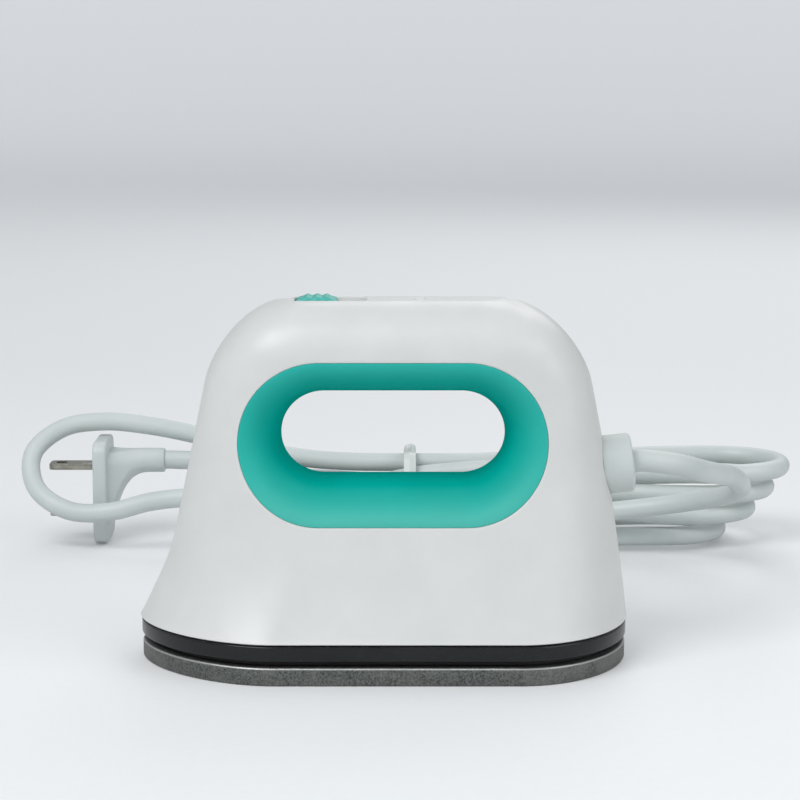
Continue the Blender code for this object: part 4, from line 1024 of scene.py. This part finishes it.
hole_radius = lens_radius + window_gap
hole_mouth = lens_radius + seat_gap
lens_hole_profile = [(0.0, lens_radius), (hole_mouth, lens_radius), (hole_mouth, shell_lip / 8),
                     (hole_radius, -shell_lip / 2), (hole_radius, -2 * body_wall), (0.0, -2 * body_wall)]
lens_hole = turned(lens_hole_profile, (lens_x, 0.0, body_height), upright, small_spin_steps)
seat_floor = -collar_sink - seat_gap
seat_profile = [(0.0, collar_length), (collar_radius + seat_gap, collar_length),
                (collar_radius + seat_gap, seat_floor), (neck_radius + seat_gap, seat_floor),
                (neck_radius + seat_gap, -2 * body_wall), (0.0, -2 * body_wall)]
cut_from(shells, [mesh_object("recess_tool", recess_form()), mesh_object("lens_tool", lens_hole),
                  mesh_object("gland_tool", turned(seat_profile, gland_seat, gland_axis))])


# Smooth routes
def smooth_route(points, spacing):
    """Points read at even steps from a smooth curve through the route's own points."""
    points = [Vector(point) for point in points]
    ends = [points[0] * 2 - points[1]] + points + [points[-1] * 2 - points[-2]]
    dense = []
    for before, start, finish, after in zip(ends, ends[1:], ends[2:], ends[3:]):
        handles = start + (finish - before) / 6, finish - (after - start) / 6
        dense += geometry.interpolate_bezier(start, *handles, finish, curve_steps)[:-1]
    dense.append(points[-1])
    lengths = [0.0]
    for first, second in zip(dense, dense[1:]):
        lengths.append(lengths[-1] + (second - first).length)
    count = max(3, round(lengths[-1] / spacing))
    even = []
    index = 0
    for step in range(count + 1):
        wanted = lengths[-1] * step / count
        while index < len(dense) - 2 and lengths[index + 1] < wanted:
            index += 1
        span = lengths[index + 1] - lengths[index]
        even.append(dense[index].lerp(dense[index + 1], (wanted - lengths[index]) / span if span else 0.0))
    return even


# The hank: loops drawn in at the tie, going down one layer along each front run
def hank_side_reach(x, right_reach):
    """Half width of a loop at a place along the hank."""
    reach = hank_left_reach if x < hank_tie_x else right_reach
    along = min(abs(x - hank_tie_x) / reach, 1.0)
    swell = math.sqrt(hank_fold_radius * reach) - hank_waist
    return math.sqrt(1 - along * along) * (hank_waist + swell * along * along)


def hank_angle(x, right_reach, front):
    angle = math.acos((x - hank_tie_x) / (right_reach if x > hank_tie_x else hank_left_reach))
    return angle if front else -angle


def hank_point(turn, angle):
    """A place on one turn of the hank; angle 0 is its fold on the right."""
    right_reach = hank_right_reaches[turn]
    x = hank_tie_x + (hank_left_reach if math.cos(angle) < 0 else right_reach) * math.cos(angle)
    side = -1 if 0 < angle < math.pi else 1
    y = hank_middle_y + side * hank_side_reach(x, right_reach)
    layer = top_layer - turn
    if angle > 0 and layer > 0:
        passed = (hank_tie_x + hank_climb_reach - x) / (2 * hank_climb_reach)
        layer -= eased(min(max(passed, 0.0), 1.0)) if angle < math.pi else 1
    elif angle > 0:
        passed = (hank_shift_start - x) / (hank_shift_start - hank_shift_end)
        y -= hank_side_step * eased(min(max(passed, 0.0), 1.0))
    return Vector((x, y, hank_level + hank_pitch * layer))


def hank_route():
    points = []
    for turn, right_reach in enumerate(hank_right_reaches):
        last_turn = turn == top_layer
        first = hank_angle(hank_start_x, right_reach, False)
        last = hank_angle(hank_end_x, right_reach, True) if last_turn else first + 2 * math.pi
        count = round(loop_points * (last - first) / (2 * math.pi))
        for step in range(count + 1 if last_turn else count):
            points.append(hank_point(turn, first + (last - first) * step / count))
    return points


hank_points = hank_route()
head_direction = (hank_points[0] - hank_points[1]).normalized()
foot_direction = (hank_points[-1] - hank_points[-2]).normalized()
hank_head = hank_points[0] + head_direction * 2 * cord_radius
hank_foot = hank_points[-1] + foot_direction * 2 * cord_radius


def free_stretch(route, start_way, end_way):
    """A stretch of the lead, which leaves its start and meets its end in line with what is there."""
    return ([route[0] + start_way * cord_radius] + smooth_route(route, tube_spacing)[1:-1]
            + [route[-1] + end_way * cord_radius])


# Lead from the strain relief, round behind the body, past the plug and back over it to the hank
lead_start = gland_seat + gland_axis * (collar_length + seat_gap)
lead_end = hank_head + head_direction * seat_gap
lead_points = free_stretch([
    lead_start, lead_start + gland_axis * 2 * cord_radius,
    (0.0680, 0.0052, 0.0410), (0.0750, 0.0170, 0.0376), (0.0806, 0.0330, 0.0342), (0.0853, 0.0500, 0.0297),
    (0.0883, 0.0670, 0.0247), (0.0878, 0.0810, 0.0206), (0.0822, 0.0925, 0.0170), (0.0700, 0.1000, 0.0137),
    (0.0530, 0.1044, 0.0112), (0.0340, 0.1114, 0.0098), (0.0080, 0.1148, 0.0096), (-0.0060, 0.1118, 0.0097),
    (-0.0180, 0.1070, 0.0106), (-0.0300, 0.1054, 0.0130), (-0.0450, 0.1054, 0.0152),
    (-0.0620, 0.1068, 0.0138), (-0.0780, 0.1085, 0.0100), (-0.0890, 0.1106, 0.0124),
    (-0.0955, 0.1155, 0.0185), (-0.0950, 0.1215, 0.0255), (-0.0880, 0.1258, 0.0305),
    (-0.0770, 0.1275, 0.0320), (-0.0600, 0.1280, 0.0300), (-0.0420, 0.1275, 0.0258),
    (-0.0240, 0.1270, 0.0222), (-0.0110, 0.1268, 0.0211), (0.0000, 0.1268, 0.0209), (0.0100, 0.1268, 0.0209),
    lead_end + head_direction * 2 * cord_radius, lead_end,
], gland_axis, head_direction)

# Tail from the hank to the plug's neck
plug_axis = Vector((1.0, 0.0, 0.0))
plug_neck_end = flange_face_x + flange_thickness + plug_body_length + plug_neck_length
tail_start = hank_foot + foot_direction * seat_gap
tail_end = Vector((plug_neck_end + seat_gap, plug_y, plug_level + plug_neck_rise))
tail_points = free_stretch([
    tail_start, tail_start + foot_direction * 2 * cord_radius,
    (-0.0080, 0.1110, 0.0038), (-0.0170, 0.1076, 0.0038), (-0.0265, 0.1065, 0.0039),
    (-0.0345, 0.1082, 0.0050), (-0.0395, 0.1127, 0.0092), (-0.0420, 0.1180, 0.0148),
    (-0.0462, 0.1222, 0.0197), tail_end + plug_axis * 3 * cord_radius, tail_end,
], foot_direction, plug_axis)


def mains_lead():
    """The whole lead as one smooth cord on one curve."""
    ends = lead_start - gland_axis * end_tuck, tail_end - plug_axis * end_tuck
    whole = smooth_route([ends[0]] + lead_points + hank_points + tail_points + [ends[1]], cord_point_spacing)
    data = bpy.data.curves.new("mains_lead", "CURVE")
    data.dimensions = "3D"
    data.bevel_depth = cord_radius
    data.bevel_resolution = cord_roundness
    data.use_fill_caps = True
    spline = data.splines.new("POLY")
    spline.points.add(len(whole) - 1)
    for point, co in zip(spline.points, whole):
        point.co = (*co, 1.0)
    spline.use_smooth = True
    data.materials.append(finishes["cord_white"])
    lead = add_object("mains_lead", data)
    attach(lead, "body")
    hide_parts("cord_lead", "cord_hank", "cord_tail")
    return lead


lead = mains_lead()

# Tie round the hank and the run on it
tie_x = hank_tie_x + tie_shift
tie_inner = cord_radius + 2 * seat_gap
tie_top = hank_level + top_layer * hank_pitch + tie_inner
waist_near, waist_far = hank_middle_y - hank_waist, hank_middle_y + hank_waist
# The runs at the hank's waist that the tie is drawn round, in Y and Z
waist_columns = [(waist_near - hank_side_step, hank_level),
                 (waist_near - hank_side_step, hank_level + hank_pitch),
                 (waist_near, hank_level + top_layer * hank_pitch), (waist_far, hank_level),
                 (waist_far, hank_level + top_layer * hank_pitch)]
# Places across the band, and how many of its thicknesses it stands proud there
tie_section = [(-tie_half_width, 0.5), (-tie_half_width / 2, 0.7), (-tie_half_width / 5, 1.0),
               (tie_half_width / 5, 1.0), (tie_half_width / 2, 0.7), (tie_half_width, 0.5),
               (tie_half_width, 0.0), (-tie_half_width, 0.0)]


def tie_place(turn, along):
    """A place on the band that is pulled straight from run to run of the hank's waist."""
    x, proud = tie_section[round(along * len(tie_section)) % len(tie_section)]
    step = round(turn * tie_turn_steps) % tie_turn_steps
    angle = 2 * math.pi * step / tie_turn_steps
    across, up = math.cos(angle), math.sin(angle)
    y, z = max(waist_columns, key=lambda centre: centre[0] * across + centre[1] * up)
    radius = tie_inner + tie_thickness * proud
    return Vector((tie_x + x, y + radius * across, z + radius * up))


tie = as_piece("hank_tie", closed_up(mapped_sheet(tie_turn_steps, len(tie_section), tie_place)), "tie_white",
               replaced=["cord_tie"])


def twisted_end(name, phase):
    """One of the two short strands that stand up from the tie, twisted together with a rounded end."""
    straight = tie_end_height - tie_nub_radius

    def place(turn, along):
        angle = 2 * math.pi * turn
        twist = phase + math.pi * tie_twist_turns * along
        dome = math.pi / 2 * max(2 * along - 1, 0.0)
        height = straight * min(2 * along, 1.0) + tie_nub_radius * math.sin(dome)
        centre = Vector((tie_x + tie_nub_radius / 2 * math.cos(twist),
                         hank_middle_y + tie_nub_radius / 2 * math.sin(twist), tie_top + height))
        return centre + tie_nub_radius * math.cos(dome) * Vector((math.cos(angle), math.sin(angle), 0.0))

    return as_piece(name, closed_up(mapped_sheet(*tie_end_steps, place)), "tie_white")


tie_ends = [twisted_end("tie_end_near", 0.0), twisted_end("tie_end_far", math.pi)]


# Plug, standing on the edge of its flange
def plug_sections():
    """Places along the plug with the rise of its middle, half depth, half height and corner at each."""
    body_start = flange_face_x + flange_thickness
    soft = flange_corner / 4
    sections = []

    def flange_section(x, drawn_in):
        sections.append((x, 0.0, flange_half_depth - drawn_in, flange_half_height - drawn_in, flange_corner))

    for sine, cosine in quarter_round(flange_edge_steps):
        flange_section(flange_face_x + soft * (1 - cosine), soft * (1 - sine))
    for sine, cosine in quarter_round(flange_edge_steps):
        flange_section(body_start - soft + soft * sine, soft * (1 - cosine))
    sections.append((body_start + soft / 4, 0.0, plug_body_half_depth, plug_body_half_height, flange_corner))
    neck_top, neck_low = plug_neck_rise + plug_neck_radius, plug_neck_rise - plug_neck_radius
    for step in range(1, plug_body_steps + 1):
        along = step / plug_body_steps
        upper = between(plug_body_half_height, neck_top, eased(along))
        lower = between(neck_low, -plug_body_half_height, (1 - along) ** plug_underside_power)
        half_depth = between(plug_neck_radius, plug_body_half_depth, (1 - along) ** plug_side_power)
        sections.append((body_start + plug_body_length * along, (upper + lower) / 2, half_depth,
                         (upper - lower) / 2, flange_corner * (1 + along / 2)))
    for sine, cosine in quarter_round(neck_end_steps)[1:]:
        radius = plug_neck_radius - plug_neck_edge * (1 - cosine)
        sections.append((plug_neck_end - plug_neck_edge * (1 - sine), plug_neck_rise, radius, radius, radius))
    return sections


def plug_moulding():
    """The flange, the body that narrows behind it and the neck that takes the lead."""
    rows = plug_sections()

    def place(turn, along):
        x, rise, half_y, half_z, corner = rows[round(along * (len(rows) - 1))]
        corner = min(corner, plug_most_round * half_y, plug_most_round * half_z)
        y, z = rounded_box(half_y, half_z, corner, turn)
        return Vector((x, plug_y + y, plug_level + rise + z))

    made = closed_up(mapped_sheet(plug_turn_steps, len(rows) - 1, place))
    return as_piece("plug_moulding", made, "cord_white", replaced=["plug_body"])


plug = plug_moulding()


def blade(name, side, node):
    """A flat plug blade with softened edges and a hole near its tip."""
    level = plug_level + side * blade_spacing / 2
    made = bmesh.new()
    bmesh.ops.create_cube(made, size=1.0)
    bmesh.ops.scale(made, vec=(blade_length, 2 * blade_half_width, 2 * blade_half_thickness),
                    verts=made.verts)
    tip_corners = [edge for edge in made.edges if edge.verts[0].co.x < 0
                   and abs(edge.verts[0].co.z - edge.verts[1].co.z) > blade_half_thickness]
    tip_steps, edge_steps = blade_edge_steps
    bmesh.ops.bevel(made, geom=tip_corners, offset=blade_half_width / 3, segments=tip_steps, profile=0.5,
                    affect="EDGES", material=-1)
    bmesh.ops.bevel(made, geom=made.edges[:], offset=blade_half_thickness / 4, segments=edge_steps,
                    profile=0.5, affect="EDGES", material=-1)
    bmesh.ops.translate(made, vec=(flange_face_x - blade_length / 2, plug_y, level), verts=made.verts)
    piece = as_piece(name, made, "blade_brass", replaced=[node])
    hole_place = (flange_face_x - blade_length + blade_half_width, plug_y, level)
    hole_profile = [(0.0, blade_half_width), (blade_half_width / 2, blade_half_width),
                    (blade_half_width / 2, -blade_half_width), (0.0, -blade_half_width)]
    hole = turned(hole_profile, hole_place, upright, hole_spin_steps)
    cut_from([piece], [mesh_object(name + "_hole", hole)])
    return piece


blades = [blade("upper_blade", 1, "plug_blade_upper"), blade("lower_blade", -1, "plug_blade_lower")]

# Finishes of the CAD nodes that stay
for row in frame["record"]["subparts"]:
    node = frame["nodes"][row["node"]]
    if node.hide_render:
        continue
    finish = finishes[row["material_slot"]]
    for index in range(len(node.data.materials)):
        node.data.materials[index] = finish
    if not node.data.materials:
        node.data.materials.append(finish)


# Floor and backdrop in one sweep
def sweep_place(across, along):
    """A place on a floor that turns up in a cove to an upright wall behind."""
    flat = floor_far - floor_near
    arc = math.pi / 2 * cove_radius
    run = along * (flat + arc + cove_height)
    angle = min(max(run - flat, 0.0) / cove_radius, math.pi / 2)
    return Vector(((2 * across - 1) * floor_half_width,
                   floor_near + min(run, flat) + cove_radius * math.sin(angle),
                   cove_radius * (1 - math.cos(angle)) + max(run - flat - arc, 0.0)))


made = mapped_sheet(*sweep_steps, sweep_place, closed=False)
bmesh.ops.recalc_face_normals(made, faces=made.faces)
floor = mesh_object("studio_sweep", made)
floor.data.shade_smooth()
floor_finish, floor_tree, floor_shader = new_material("studio_sweep")
paper = noise(floor_tree, 400.0, 3.0, 0.6)
paper_colour = blend_colours(floor_tree, paper, (0.74, 0.745, 0.75), (0.77, 0.775, 0.78))
feed(floor_tree, floor_shader["Base Color"], paper_colour)
floor_shader["Roughness"].default_value = 0.6
floor_shader["Emission Color"].default_value = (0.95, 0.97, 1.0, 1.0)
seen = add_node(floor_tree, "ShaderNodeLightPath").outputs["Is Camera Ray"]
reach = add_node(floor_tree, "ShaderNodeVectorMath", {0: place_on_piece(floor_tree)}, operation="LENGTH")
glow = spread(floor_tree, reach.outputs["Value"], floor_glow_start, floor_far + cove_radius, floor_glow_near,
              floor_glow_far)
feed(floor_tree, floor_shader["Emission Strength"], scaled(floor_tree, seen, glow))
floor.data.materials.append(floor_finish)

# Plain soft light
world = bpy.data.worlds.new("studio")
world.use_nodes = True
bpy.context.scene.world = world
sky = world.node_tree.nodes["Background"].inputs
sky["Color"].default_value = (0.92, 0.96, 1.0, 1.0)
seen = add_node(world.node_tree, "ShaderNodeLightPath").outputs["Is Camera Ray"]
brightness = combine(world.node_tree, scaled(world.node_tree, seen, sky_seen_extra), sky_strength)
feed(world.node_tree, sky["Strength"], brightness)


def soft_lamp(name, place, size, power):
    """A square lamp aimed at the middle of the press."""
    data = bpy.data.lights.new(name, "AREA")
    data.shape = "SQUARE"
    data.size = size
    data.energy = power
    lamp = add_object(name, data)
    lamp.location = place
    lamp.rotation_euler = (Vector(lamp_aim) - Vector(place)).to_track_quat("-Z", "Y").to_euler()


soft_lamp("key", (-0.5, -0.6, 0.9), 0.7, 7.4)
soft_lamp("fill", (0.8, -0.5, 0.5), 0.8, 2.7)
soft_lamp("back", (0.3, 1.0, 0.8), 0.8, 3.0)
